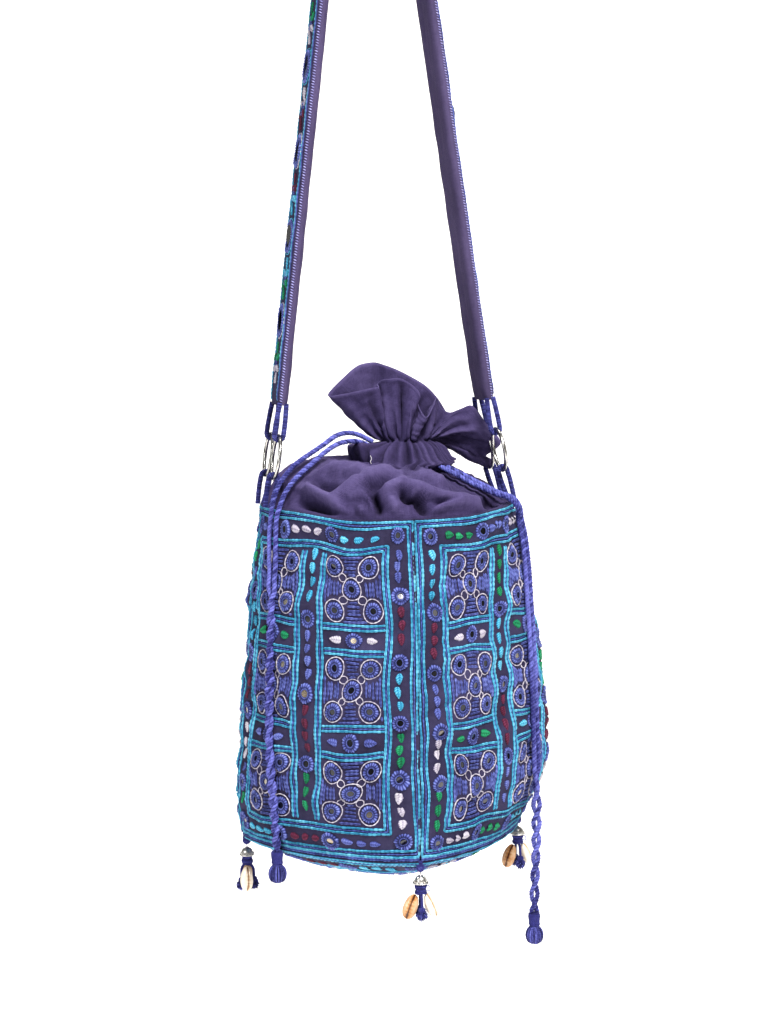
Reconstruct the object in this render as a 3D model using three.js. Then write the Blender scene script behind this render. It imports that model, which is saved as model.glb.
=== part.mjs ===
// Potli bag: a square embroidered bag hung by its corner rings from a shoulder strap.
// Millimetres, +Z up, -Y towards the viewer. The origin is on the underside of the
// strap's crown, where the strap hangs on a peg. The bag's four vertical seams stand
// at -Y (front), +X (right), +Y (back) and -X (left).
import * as THREE from 'three';

// ------------------------------------------------------------ driving dimensions
const RIM_Z = -516;            // top edge of the embroidered panels
const BODY_H = 228;            // height of the panels
const PANEL_T = 2.4;           // embroidered cloth, backing and stitches
const LINING_OUT = 3.6;        // lining's outer face, in from the panel's outer face
const LINING_IN = 4.8;
const SEAM_GAP = 0.2;          // half the clearance at a seam
const BASE_SAG = 27;           // how far the base hangs below its seam
const STRAP_W = 38;            // padded strap's width
const STRAP_T = 8;             // padded strap's thickness
const CROWN_FLAT = 4;          // half length of the flat at the crown
const CROWN_R = 15;            // strap's mid line radius beside the flat
const LEG_DEG = 7.5;           // slope of each strap leg
const STRAP_END = [75, -439];  // x, z of the strap's end
const RING_R = 15.15;          // ring's mean radius
const RING_WIRE = 1.35;        // ring's wire radius
const RING_X = 81, RING_Z = -475;
const RING_TILT_DEG = 9;
const RING_Y = 17.5;           // the rings stand side by side, front and back
const LOOP_R = 1.55;           // thread loop's radius
const LOOP_HALF = 3.4;         // half the distance between a loop's legs
const CORD_R = 1.9;            // drawstring's radius

// height below the rim, front, front shift, left, right, back, roundness
const BODY = [
  [0, 93, 0, 89.6, 92.1, 92, 1.95],
  [30, 95, 0, 94.5, 99.4, 94, 1.95],
  [60, 98, 0, 99.2, 104.7, 97, 1.93],
  [95, 102, -1, 102.3, 109.5, 101, 1.92],
  [130, 105, -2, 105.6, 112.7, 104, 1.90],
  [165, 107.5, -2.5, 109.4, 114.5, 106.5, 1.86],
  [190, 109, -3, 111.6, 113.8, 107.5, 1.80],
  [204, 109.8, -3.2, 112.2, 107.6, 108.5, 1.74],
  [216, 110.4, -3.6, 112.1, 100.4, 109.2, 1.66],
  [228, 111, -4, 110, 95.0, 110, 1.55],
];
const PER_PANEL = 48;          // samples of one panel's width

// ------------------------------------------------------------ colours
const colour = {
  cotton: new THREE.MeshStandardMaterial({ color: 0x4a3f74, roughness: 0.9, metalness: 0 }),
  embroidery: new THREE.MeshStandardMaterial({ color: 0x3c4a94, roughness: 0.85, metalness: 0 }),
  thread: new THREE.MeshStandardMaterial({ color: 0x4a46a0, roughness: 0.8, metalness: 0 }),
  steel: new THREE.MeshStandardMaterial({ color: 0xc8c4bc, roughness: 0.22, metalness: 1 }),
  silver: new THREE.MeshStandardMaterial({ color: 0xd4d4d2, roughness: 0.3, metalness: 1 }),
  shell: new THREE.MeshStandardMaterial({ color: 0xe6dcc8, roughness: 0.35, metalness: 0 }),
};

const bag = new THREE.Group();
function add(name, geometry, material, parent = bag) {
  const m = new THREE.Mesh(geometry, material.clone());
  m.name = name;
  parent.add(m);
  return m;
}
const V = (x, y, z) => new THREE.Vector3(x, y, z);

// ------------------------------------------------------------ solids from rings and grids
function solid(points, faces) {
  let vol = 0;
  for (const [a, b, c] of faces) {
    vol += points[a].dot(new THREE.Vector3().crossVectors(points[b], points[c]));
  }
  const index = [];
  for (const [a, b, c] of faces) vol < 0 ? index.push(a, c, b) : index.push(a, b, c);
  const g = new THREE.BufferGeometry();
  g.setAttribute('position', new THREE.Float32BufferAttribute(points.flatMap((p) => [p.x, p.y, p.z]), 3));
  g.setIndex(index);
  g.computeVertexNormals();
  return g;
}

// A closed skin through rings of equally many points. looped joins the last ring to the first.
function loft(rings, looped = false) {
  const n = rings[0].length;
  const points = rings.flat();
  const faces = [];
  const last = looped ? rings.length : rings.length - 1;
  for (let i = 0; i < last; i++) {
    const a = i * n, b = ((i + 1) % rings.length) * n;
    for (let j = 0; j < n; j++) {
      const k = (j + 1) % n;
      faces.push([a + j, b + k, b + j], [a + j, a + k, b + k]);
    }
  }
  if (!looped) {
    for (const [start, flip] of [[0, false], [(rings.length - 1) * n, true]]) {
      const c = new THREE.Vector3();
      for (let j = 0; j < n; j++) c.add(points[start + j]);
      points.push(c.divideScalar(n));
      const ci = points.length - 1;
      for (let j = 0; j < n; j++) {
        const k = (j + 1) % n;
        faces.push(flip ? [ci, start + j, start + k] : [ci, start + k, start + j]);
      }
    }
  }
  return solid(points, faces);
}

// A sheet between an outer and an inner grid of points.
function sheet(outer, inner) {
  const rows = outer.length, cols = outer[0].length;
  const points = [...outer.flat(), ...inner.flat()];
  const o = (i, j) => i * cols + j, q = (i, j) => rows * cols + i * cols + j;
  const faces = [];
  for (let i = 0; i < rows - 1; i++) {
    for (let j = 0; j < cols - 1; j++) {
      faces.push([o(i, j), o(i + 1, j), o(i + 1, j + 1)], [o(i, j), o(i + 1, j + 1), o(i, j + 1)]);
      faces.push([q(i, j), q(i + 1, j + 1), q(i + 1, j)], [q(i, j), q(i, j + 1), q(i + 1, j + 1)]);
    }
  }
  const edge = (a, b, c, d) => faces.push([a, b, c], [a, c, d]);
  for (let j = 0; j < cols - 1; j++) {
    edge(o(0, j), o(0, j + 1), q(0, j + 1), q(0, j));
    edge(o(rows - 1, j + 1), o(rows - 1, j), q(rows - 1, j), q(rows - 1, j + 1));
  }
  for (let i = 0; i < rows - 1; i++) {
    edge(o(i + 1, 0), o(i, 0), q(i, 0), q(i + 1, 0));
    edge(o(i, cols - 1), o(i + 1, cols - 1), q(i + 1, cols - 1), q(i, cols - 1));
  }
  return solid(points, faces);
}

// A round tube along a curve.
function tube(curve, radius, sides, steps) {
  const shape = new THREE.Shape();
  for (let k = 0; k < sides; k++) {
    const a = (2 * Math.PI * k) / sides;
    if (k === 0) shape.moveTo(radius * Math.cos(a), radius * Math.sin(a));
    else shape.lineTo(radius * Math.cos(a), radius * Math.sin(a));
  }
  shape.closePath();
  return new THREE.ExtrudeGeometry(shape, { steps, bevelEnabled: false, curveSegments: 1, extrudePath: curve });
}

// ------------------------------------------------------------ the bag's outline at a depth
function lerpTable(table, x, col) {
  if (x <= table[0][0]) return table[0][col];
  for (let i = 1; i < table.length; i++) {
    if (x <= table[i][0]) {
      const t = (x - table[i - 1][0]) / (table[i][0] - table[i - 1][0]);
      return table[i - 1][col] + (table[i][col] - table[i - 1][col]) * t;
    }
  }
  return table[table.length - 1][col];
}

// Points round the bag, from the front seam by the right, back and left seams. Each
// quarter is a rounded square's, split into equal lengths.
const FINE = 96;
function section(h) {
  const [Rf, xf, Rl, Rr, Rb, n] = [1, 2, 3, 4, 5, 6].map((k) => lerpTable(BODY, h, k));
  const e = 2 / n;
  let pts = [];
  for (const [sx, a, sy, b, flip] of [[1, Rr, -1, Rf, 0], [1, Rr, 1, Rb, 1], [-1, Rl, 1, Rb, 0], [-1, Rl, -1, Rf, 1]]) {
    const q = [], cum = [0];
    for (let i = 0; i <= FINE; i++) {
      const ph = (Math.PI / 2) * (flip ? 1 - i / FINE : i / FINE);
      const s = Math.pow(Math.abs(Math.sin(ph)), e), c = Math.pow(Math.abs(Math.cos(ph)), e);
      q.push([sx * a * s + (sy < 0 ? xf * c * c : 0), sy * b * c]);
      if (i) cum.push(cum[i - 1] + Math.hypot(q[i][0] - q[i - 1][0], q[i][1] - q[i - 1][1]));
    }
    let k = 0;
    for (let i = 0; i < PER_PANEL; i++) {
      const s = (cum[FINE] * i) / PER_PANEL;
      while (cum[k + 1] < s) k++;
      const t = (s - cum[k]) / (cum[k + 1] - cum[k]);
      pts.push([q[k][0] + (q[k + 1][0] - q[k][0]) * t, q[k][1] + (q[k + 1][1] - q[k][1]) * t]);
    }
  }
  const m = pts.length;
  for (let r = 0; r < 6; r++) {
    pts = pts.map((p, i) => {
      const a = pts[(i + m - 1) % m], c = pts[(i + 1) % m];
      return [0.25 * a[0] + 0.5 * p[0] + 0.25 * c[0], 0.25 * a[1] + 0.5 * p[1] + 0.25 * c[1]];
    });
  }
  return pts;
}
function normalsOf(pts) {
  const n = pts.length;
  return pts.map((p, i) => {
    const a = pts[(i + n - 1) % n], c = pts[(i + 1) % n];
    const tx = c[0] - a[0], ty = c[1] - a[1], l = Math.hypot(tx, ty);
    return [ty / l, -tx / l];
  });
}
const smooth = (a, b, x) => { const t = Math.min(Math.max((x - a) / (b - a), 0), 1); return t * t * (3 - 2 * t); };
// The strap lifts the rim at its two corners.
const lift = (x, h) => Math.max(0, 1 - h / 110) * (6 * smooth(35, 85, -x) + 3 * smooth(35, 85, x));

function wallPoint(sec, nor, i, offset, h) {
  const n = sec.length;
  const i0 = Math.floor(i), f = i - i0;
  const a = ((i0 % n) + n) % n, b = (a + 1) % n;
  const x = sec[a][0] * (1 - f) + sec[b][0] * f, y = sec[a][1] * (1 - f) + sec[b][1] * f;
  const nx = nor[a][0] * (1 - f) + nor[b][0] * f, ny = nor[a][1] * (1 - f) + nor[b][1] * f;
  return V(x - nx * offset, y - ny * offset, RIM_Z - h + lift(x, h));
}

// ------------------------------------------------------------ four side panels
const ROWS = [0, 25, 60, 100, 140, 180, 204, 216, 228];
const COLS = 8;
['panel_front_right', 'panel_back_right', 'panel_back_left', 'panel_front_left'].forEach((name, p) => {
  const outer = [], inner = [];
  for (const h of ROWS) {
    const sec = section(h), nor = normalsOf(sec);
    const eps = SEAM_GAP / 2.9;
    const o = [], q = [];
    for (let c = 0; c <= COLS; c++) {
      let i = p * PER_PANEL + (PER_PANEL * c) / COLS;
      if (c === 0) i += eps;
      if (c === COLS) i -= eps;
      o.push(wallPoint(sec, nor, i, 0, h));
      q.push(wallPoint(sec, nor, i, PANEL_T, h));
    }
    outer.push(o);
    inner.push(q);
  }
  add(name, sheet(outer, inner), colour.embroidery);
});

// ------------------------------------------------------------ base panel
const AROUND = 4 * COLS;
function ringAt(h, offset, scale, dz, cx = 0, cy = 0) {
  const sec = section(h), nor = normalsOf(sec), out = [];
  for (let j = 0; j < AROUND; j++) {
    const p = wallPoint(sec, nor, (j * sec.length) / AROUND, offset, h);
    out.push(V(cx + (p.x - cx) * scale, cy + (p.y - cy) * scale, p.z + dz));
  }
  return out;
}
const sag = (r) => BASE_SAG * (1 - Math.pow(r, 2.2));
const BASE_CX = -5;
{
  const rings = [];
  for (const r of [0.22, 0.5, 0.78, 0.93, 1]) rings.push(ringAt(BODY_H, 0, r, -0.3 - PANEL_T - sag(r), BASE_CX));
  for (const r of [1, 0.93, 0.78, 0.5, 0.22]) rings.push(ringAt(BODY_H, 0, r, -0.3 - sag(r), BASE_CX));
  add('base_panel', loft(rings), colour.embroidery);
}

// ------------------------------------------------------------ lining of the body
{
  const rings = [];
  const rs = [0.22, 0.5, 0.78, 0.93];
  for (const r of rs) rings.push(ringAt(BODY_H, LINING_OUT, r, 0.5 - sag(r * 0.975), BASE_CX));
  for (const h of [226, 216, 204, 180, 140, 100, 60, 25]) rings.push(ringAt(h, LINING_OUT, 1, 0));
  for (const h of [25, 60, 100, 140, 180, 204, 216, 224.5]) rings.push(ringAt(h, LINING_IN, 1, 0));
  for (const r of [...rs].reverse()) rings.push(ringAt(BODY_H, LINING_IN, r, 1.8 - sag(r * 0.975), BASE_CX));
  add('inner_lining', loft(rings), colour.cotton);
}

// ------------------------------------------------------------ drawstring collar
// One tube of plain cotton: sewn inside the rim, puffed over it, gathered at the
// casing, and flaring into a frill above.
const HEM = [[-48, -440], [-40, -433], [-27, -418], [-14, -412], [13, -419], [33, -429], [47, -446], [58, -446], [70, -452]];
const NECK_X = 17;
{
  const rings = [];
  const ellipse = (cx, cy, a, b, z) => {
    const out = [];
    for (let j = 0; j < AROUND; j++) {
      const t = -Math.PI / 2 + (2 * Math.PI * j) / AROUND;
      const x = cx + a * Math.cos(t), y = cy + b * Math.sin(t);
      out.push(V(x, y, typeof z === 'function' ? z(x) : z));
    }
    return out;
  };
  // the cloth falls in between the four seams as the dome rises, and the right-hand
  // cords press a hollow into it
  const dome = (scale, z, tilt, cx, down) => {
    const sec = section(0), nor = normalsOf(sec), out = [];
    const fall = Math.min(0.21, 0.6 * (1 - scale));
    for (let j = 0; j < AROUND; j++) {
      const p = wallPoint(sec, nor, (j * sec.length) / AROUND, LINING_OUT + down, 0);
      const s = scale * (1 - fall * Math.sin(2 * Math.atan2(p.y, p.x)) ** 2);
      const x = cx * (1 - scale) + p.x * s, y = p.y * s;
      const press = 8 * Math.exp(-((x - 54) ** 2 + (y + 36) ** 2) / 700);
      out.push(V(x, y, z - tilt * x - down - press));
    }
    return out;
  };
  const rim = (h, off) => ringAt(h, off, 1, 0);
  const hem = (dz) => (x) => lerpTable(HEM, x, 1) + dz;
  // outer face, from the rim's inside up to the frill's edge
  rings.push(rim(5, LINING_OUT), rim(0, LINING_OUT));
  rings.push(dome(0.955, -506, 0.045, 0, 0), dome(0.88, -495.5, 0.07, 2, 0), dome(0.76, -488.5, 0.1, 8, 0));
  rings.push(dome(0.56, -485.5, 0.08, 15, 0), dome(0.38, -483.5, 0.03, NECK_X, 0));
  rings.push(ellipse(NECK_X, 0, 21, 17, -480), ellipse(NECK_X, 0, 20, 15.5, -475), ellipse(NECK_X, 0, 22, 16, -469));
  rings.push(ellipse(16, 0, 31, 17, (x) => -460 - 0.05 * x), ellipse(14, 0, 45, 17, (x) => -449 - 0.12 * (x - 14)));
  rings.push(ellipse(13, 0, 54, 14, hem(0)));
  // inner face, back down
  rings.push(ellipse(13, 0, 52, 12, hem(-0.6)), ellipse(14, 0, 43, 15, (x) => -449 - 0.12 * (x - 14)));
  rings.push(ellipse(16, 0, 28, 14.5, (x) => -459.5 - 0.05 * x), ellipse(NECK_X, 0, 10, 10, -468));
  rings.push(ellipse(NECK_X, 0, 7.5, 7.5, -475), ellipse(NECK_X, 0, 8.5, 8.5, -481));
  rings.push(dome(0.37, -485.6, 0.03, NECK_X, 1.2), dome(0.55, -486, 0.08, 15, 1.6), dome(0.755, -489, 0.1, 8, 1.8));
  rings.push(dome(0.872, -496, 0.07, 2, 1.8), dome(0.945, -507, 0.045, 0, 1.8));
  rings.push(rim(0, LINING_OUT + 1.8), rim(5, LINING_OUT + 1.8));
  add('drawstring_collar', loft(rings, true), colour.cotton);
}

// ------------------------------------------------------------ strap
const rad = Math.PI / 180;
const strapPath = [];
{
  const top = [];
  const a0 = LEG_DEG, cz = -CROWN_R + STRAP_T / 2;
  for (const deg of [LEG_DEG, 22, 38, 54, 72, 90]) {
    top.push([CROWN_FLAT + CROWN_R * Math.cos(deg * rad), cz + CROWN_R * Math.sin(deg * rad), deg]);
  }
  const first = top[0];
  const legs = [];
  const count = 11;
  for (let i = 0; i < count; i++) {
    const t = i / count;
    legs.push([STRAP_END[0] + (first[0] - STRAP_END[0]) * t, STRAP_END[1] + (first[1] - STRAP_END[1]) * t, a0]);
  }
  const right = [...legs, ...top];
  for (const [x, z, deg] of right) strapPath.push([x, z, deg]);
  for (const [x, z, deg] of [...right].reverse()) strapPath.push([-x, z, 180 - deg]);
}
{
  const w = STRAP_W / 2, t = STRAP_T / 2;
  const profile = [[w, 0], [w - 0.8, t * 0.62], [w - 4, t], [0, t], [4 - w, t], [0.8 - w, t * 0.62], [-w, 0],
    [0.8 - w, -t * 0.62], [4 - w, -t], [0, -t], [w - 4, -t], [w - 0.8, -t * 0.62]];
  const rings = strapPath.map(([x, z, deg], i) => {
    const nx = Math.cos(deg * rad), nz = Math.sin(deg * rad);
    const end = i === 0 || i === strapPath.length - 1;
    const fw = end ? 0.97 : 1, ft = end ? 0.85 : 1;
    return profile.map(([y, n]) => V(x + nx * n * ft, y * fw, z + nz * n * ft));
  });
  add('strap_band', loft(rings), colour.cotton);
}

// ------------------------------------------------------------ rings and the thread loops that hold them
const ringTop = (s) => V(s * (RING_X - RING_R * Math.sin(RING_TILT_DEG * rad)), 0, RING_Z + RING_R * Math.cos(RING_TILT_DEG * rad));
const ringBottom = (s) => V(s * (RING_X + RING_R * Math.sin(RING_TILT_DEG * rad)), 0, RING_Z - RING_R * Math.cos(RING_TILT_DEG * rad));

// A U of thread from two feet round the wire, in the plane across the ring.
function loopCurve(feetMid, wire, feetHalf, y) {
  const dir = new THREE.Vector3().subVectors(wire, feetMid);
  const len = dir.length();
  dir.normalize();
  const side = V(dir.z, 0, -dir.x);
  const pts = [];
  const at = (along, across) => V(feetMid.x + dir.x * along + side.x * across, y, feetMid.z + dir.z * along + side.z * across);
  pts.push(at(0, feetHalf), at(len * 0.3, feetHalf + (LOOP_HALF - feetHalf) * 0.55), at(len * 0.7, LOOP_HALF));
  for (let k = 0; k <= 6; k++) {
    const a = (Math.PI * k) / 6;
    pts.push(at(len - 0.1 + LOOP_HALF * Math.sin(a), LOOP_HALF * Math.cos(a)));
  }
  pts.push(at(len * 0.7, -LOOP_HALF), at(len * 0.3, -feetHalf - (LOOP_HALF - feetHalf) * 0.55), at(0, -feetHalf));
  return new THREE.CatmullRomCurve3(pts, false, 'centripetal');
}

for (const [side, s] of [['left', -1], ['right', 1]]) {
  for (const [place, y] of [['front', -RING_Y], ['back', RING_Y]]) {
    const ring = add(`ring_${side}_${place}`, new THREE.TorusGeometry(RING_R, RING_WIRE, 6, 24), colour.steel);
    // the ring's own axis lies along X, turned by its tilt
    ring.rotation.set(0, Math.PI / 2 - s * RING_TILT_DEG * rad, 0);
    ring.position.set(s * RING_X, y, RING_Z);

    const endDir = V(-s * Math.sin(LEG_DEG * rad), 0, Math.cos(LEG_DEG * rad));
    const foot = V(s * STRAP_END[0], 0, STRAP_END[1]).addScaledVector(endDir, -0.35);
    add(`strap_loop_${side}_${place}`, tube(loopCurve(foot, ringTop(s), 2.4, y), LOOP_R, 6, 14), colour.thread);

    const rimX = s < 0 ? -87.9 : 90.2;
    const rimZ = RIM_Z + lift(rimX, 0) + 0.35;
    add(`bag_loop_${side}_${place}`, tube(loopCurve(V(rimX, 0, rimZ + 0.9), ringBottom(s), 2.0, y), LOOP_R, 6, 14), colour.thread);
  }
}

// ------------------------------------------------------------ drawstrings, each end a free strand
const STRANDS = {
  drawstring_left_a: [[-9.3, -6.5, -466.9], [-20, -9, -461.5], [-28.5, -12, -459.8], [-37, -15, -461.2], [-46, -19, -466.4], [-54, -23, -470.8], [-62.4, -27, -475.3],
    [-70, -31, -480], [-76.6, -34, -486], [-82, -36, -492.5], [-85.5, -35, -501], [-87.2, -31, -511], [-88.7, -30.5, -523.7], [-90.4, -35.2, -545.1],
    [-92.6, -39.5, -572.3], [-94.3, -41.5, -599.9], [-97.1, -45.7, -641.9], [-98.3, -49.6, -682.6], [-97.6, -52.4, -706.8], [-95.8, -51, -730.9], [-94.9, -50.2, -745.8]],
  drawstring_left_b: [[-9, -9, -471], [-20, -13, -466.4], [-28, -16, -465.6], [-37, -19.5, -467], [-46, -23.5, -471.5], [-53.5, -27.5, -476.6], [-61, -31.5, -481.8],
    [-68, -35, -487], [-74, -37.6, -492.6], [-79, -38.4, -499.5], [-82.2, -37.9, -507.4], [-85.1, -39.2, -515.6], [-86, -39.3, -527.2], [-87.2, -42.1, -545.7],
    [-89.1, -45.7, -572], [-90.7, -48, -599.5], [-93.4, -52.3, -641.4], [-94.6, -55.9, -682.1], [-94.1, -58.6, -706.2], [-92.5, -56.7, -730.4], [-91.8, -55, -745.3]],
  drawstring_right_a: [[34.3, -14, -480.1], [39, -16.5, -483.2], [44, -20, -487], [51, -25, -490.8], [58, -29.5, -495.2], [66, -33.5, -499.6], [75, -35, -504.2],
    [86, -33.7, -508.7], [92.3, -29.3, -515.6], [94.8, -25, -525], [96.7, -26.5, -535.7], [96.7, -34.2, -554.7], [94.9, -45.8, -581.9], [94.3, -52.6, -609.4],
    [93.6, -58.8, -651.3], [94, -59, -694.2], [93.6, -59.6, -726.4], [92.5, -61, -755.7], [90.2, -63.5, -782.1], [88.9, -65.7, -800.6]],
  drawstring_right_b: [[30.7, -19, -481.5], [35.5, -20.6, -484.6], [40.4, -24.4, -487.6], [47.2, -29.3, -491.6], [54.2, -34, -496.2], [62.6, -38.2, -500.6], [71.4, -40.6, -505],
    [80.9, -43.2, -508.2], [86.6, -44.6, -515.4], [88.1, -39.2, -523.8], [89.2, -42.3, -532.5], [88.5, -51.1, -544.9], [89.4, -55.3, -584.1], [89.3, -60.2, -610.8],
    [89.4, -63.9, -652.1], [89.8, -64.1, -694], [89.4, -64.9, -726.2], [88.1, -66.4, -755.4], [86.2, -68.2, -781.8], [84.9, -69.7, -800.3]],
};
for (const [name, pts] of Object.entries(STRANDS)) {
  const curve = new THREE.CatmullRomCurve3(pts.map((p) => V(...p)), false, 'centripetal');
  add(name, tube(curve, CORD_R, 8, 20), colour.thread);
}
function lathe(name, profile, material, parent, segments = 14) {
  const g = new THREE.LatheGeometry(profile.map(([r, z]) => new THREE.Vector2(r, z)), segments);
  g.rotateX(Math.PI / 2);
  return add(name, g, material, parent);
}
// the wrapped binding and the ball tassel under each pair of strands
for (const [side, x, y, z] of [['left', -93.4, -52.6, -746.2], ['right', 86.9, -67.7, -800.85]]) {
  const g = new THREE.Group();
  g.position.set(x, y, z);
  bag.add(g);
  lathe(`drawstring_${side}_binding`, [[0, -9.5], [3.6, -9.5], [4.2, -6.5], [4.3, -2.5], [3.9, 0], [0, 0]], colour.thread, g);
  lathe(`drawstring_${side}_tassel`, [[0, -22.5], [4, -21.8], [5.9, -19], [6.2, -15.5], [5, -12.2], [3, -9.9], [0, -9.9]], colour.thread, g, 16);
}

// ------------------------------------------------------------ corner tassels
const PIVOT_Z = -754;
// corner, x, y, turn of the shells about Z, lean
const CORNERS = [['front', -4.2, -107.8, 0], ['right', 94.9, 0, 12], ['back', -0.2, 107, 40], ['left', -107.2, 0, 78]];
for (const [corner, x, y, turn] of CORNERS) {
  const knot = new THREE.Group();
  knot.position.set(x, y, PIVOT_Z);
  bag.add(knot);
  lathe(`tassel_${corner}_knot`, [[0, 0.6], [1.8, 0.6], [2.9, 2], [2.9, 3.4], [1.6, 5.0], [0, 5.2]], colour.thread, knot, 10);

  const g = new THREE.Group();
  g.position.set(x, y, PIVOT_Z);
  g.rotation.z = turn * rad;
  bag.add(g);
  lathe(`tassel_${corner}_cap`, [[0, -7.6], [5.2, -7.6], [5.4, -6.9], [4.3, -6.3], [3.9, -4.4], [2.7, -2.9], [1.5, -2.3], [0.45, -1.9], [0.45, 0], [0, 0.1]], colour.silver, g, 12);
  lathe(`tassel_${corner}_band`, [[0, -14.4], [3.4, -14.4], [4.1, -13.4], [4.1, -8.8], [3.8, -7.95], [0, -7.95]], colour.thread, g, 10);
  for (const [letter, s] of [['a', -1], ['b', 1]]) {
    const shell = new THREE.SphereGeometry(1, 10, 7);
    shell.scale(3.8, 6.0, 8.8);
    const m = add(`tassel_${corner}_shell_${letter}`, shell, colour.shell, g);
    m.position.set(s * 7.3, 0, -23.1);
    m.rotation.y = -s * 22 * rad;
    const pom = lathe(`tassel_${corner}_pompom_${letter}`, [[0, -13.6], [2, -13.1], [3.9, -10.9], [4.1, -8.6], [2.8, -6.4], [1.6, -5.3], [1.5, 0.0], [0, 0.0]], colour.thread, g, 8);
    pom.position.set(s * 0.4, s * 4.5, s > 0 ? -19.4 : -18.6);
  }
}

export default bag;
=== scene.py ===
import math
import bpy
import numpy as np
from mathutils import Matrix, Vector


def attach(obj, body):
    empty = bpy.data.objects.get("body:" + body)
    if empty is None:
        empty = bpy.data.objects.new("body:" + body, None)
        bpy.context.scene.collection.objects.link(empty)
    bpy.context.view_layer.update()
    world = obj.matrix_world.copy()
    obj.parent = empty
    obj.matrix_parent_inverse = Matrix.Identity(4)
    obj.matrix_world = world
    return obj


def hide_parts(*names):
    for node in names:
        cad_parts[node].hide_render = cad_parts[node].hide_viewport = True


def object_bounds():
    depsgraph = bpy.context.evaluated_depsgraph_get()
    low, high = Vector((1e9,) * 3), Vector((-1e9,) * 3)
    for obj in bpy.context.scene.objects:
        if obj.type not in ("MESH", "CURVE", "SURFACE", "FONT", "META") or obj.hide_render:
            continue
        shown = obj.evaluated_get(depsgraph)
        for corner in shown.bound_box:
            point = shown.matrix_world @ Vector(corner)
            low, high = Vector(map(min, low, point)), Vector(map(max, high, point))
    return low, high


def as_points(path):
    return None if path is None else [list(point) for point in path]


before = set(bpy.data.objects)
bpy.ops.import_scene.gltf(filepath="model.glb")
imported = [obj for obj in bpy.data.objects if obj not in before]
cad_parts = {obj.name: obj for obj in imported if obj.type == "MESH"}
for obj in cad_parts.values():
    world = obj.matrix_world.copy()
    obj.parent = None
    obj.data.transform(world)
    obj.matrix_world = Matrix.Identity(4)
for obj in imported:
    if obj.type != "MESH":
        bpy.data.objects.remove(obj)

MM = 0.001
cad_lo, cad_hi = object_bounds()
rng = np.random.default_rng(7)
for name in ("Cube", "Light", "Camera"):
    if name in bpy.data.objects:
        bpy.data.objects.remove(bpy.data.objects[name], do_unlink=True)

# ------------------------------------------------------------------ camera
CAM_A, CAM_E, CAM_ROLL = math.radians(-12.0), math.radians(5.0), math.radians(-1.3)
CAM_D, CAM_F = 1400.0, 1944.0          # mm, and pixels for a 1024 high image
IMG_W, IMG_H = 768, 1024
RIM = -516.0
view_d = np.array([-math.sin(CAM_A) * math.cos(CAM_E), math.cos(CAM_A) * math.cos(CAM_E), -math.sin(CAM_E)])
_r = np.array([math.cos(CAM_A), math.sin(CAM_A), 0.0])
_u = np.cross(_r, view_d)
view_r = math.cos(CAM_ROLL) * _r + math.sin(CAM_ROLL) * _u
view_u = -math.sin(CAM_ROLL) * _r + math.cos(CAM_ROLL) * _u
cam_pos = np.array([0, 0, RIM]) - 0.72 * view_r - 2.16 * view_u - view_d * CAM_D


def to_px(p):
    q = np.asarray(p, float) - cam_pos
    z = q @ view_d
    return np.stack([IMG_W / 2 + CAM_F * (q @ view_r) / z, IMG_H / 2 - CAM_F * (q @ view_u) / z], -1)


def from_px(px, py, y):
    v = view_d * CAM_F + view_r * (px - IMG_W / 2) - view_u * (py - IMG_H / 2)
    return cam_pos + v * ((y - cam_pos[1]) / v[1])


cam_data = bpy.data.cameras.new("camera")
cam = bpy.data.objects.new("camera", cam_data)
bpy.context.collection.objects.link(cam)
from mathutils import Matrix
m = Matrix.Identity(4)
for k in range(3):
    m[k][0], m[k][1], m[k][2], m[k][3] = view_r[k], view_u[k], -view_d[k], cam_pos[k] * MM
cam.matrix_world = m
cam_data.sensor_fit = "AUTO"
cam_data.sensor_width = 24.0
cam_data.lens = 24.0 * CAM_F / IMG_H
cam_data.clip_end = 50.0
cam_data.dof.use_dof = False
bpy.context.scene.camera = cam


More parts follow.
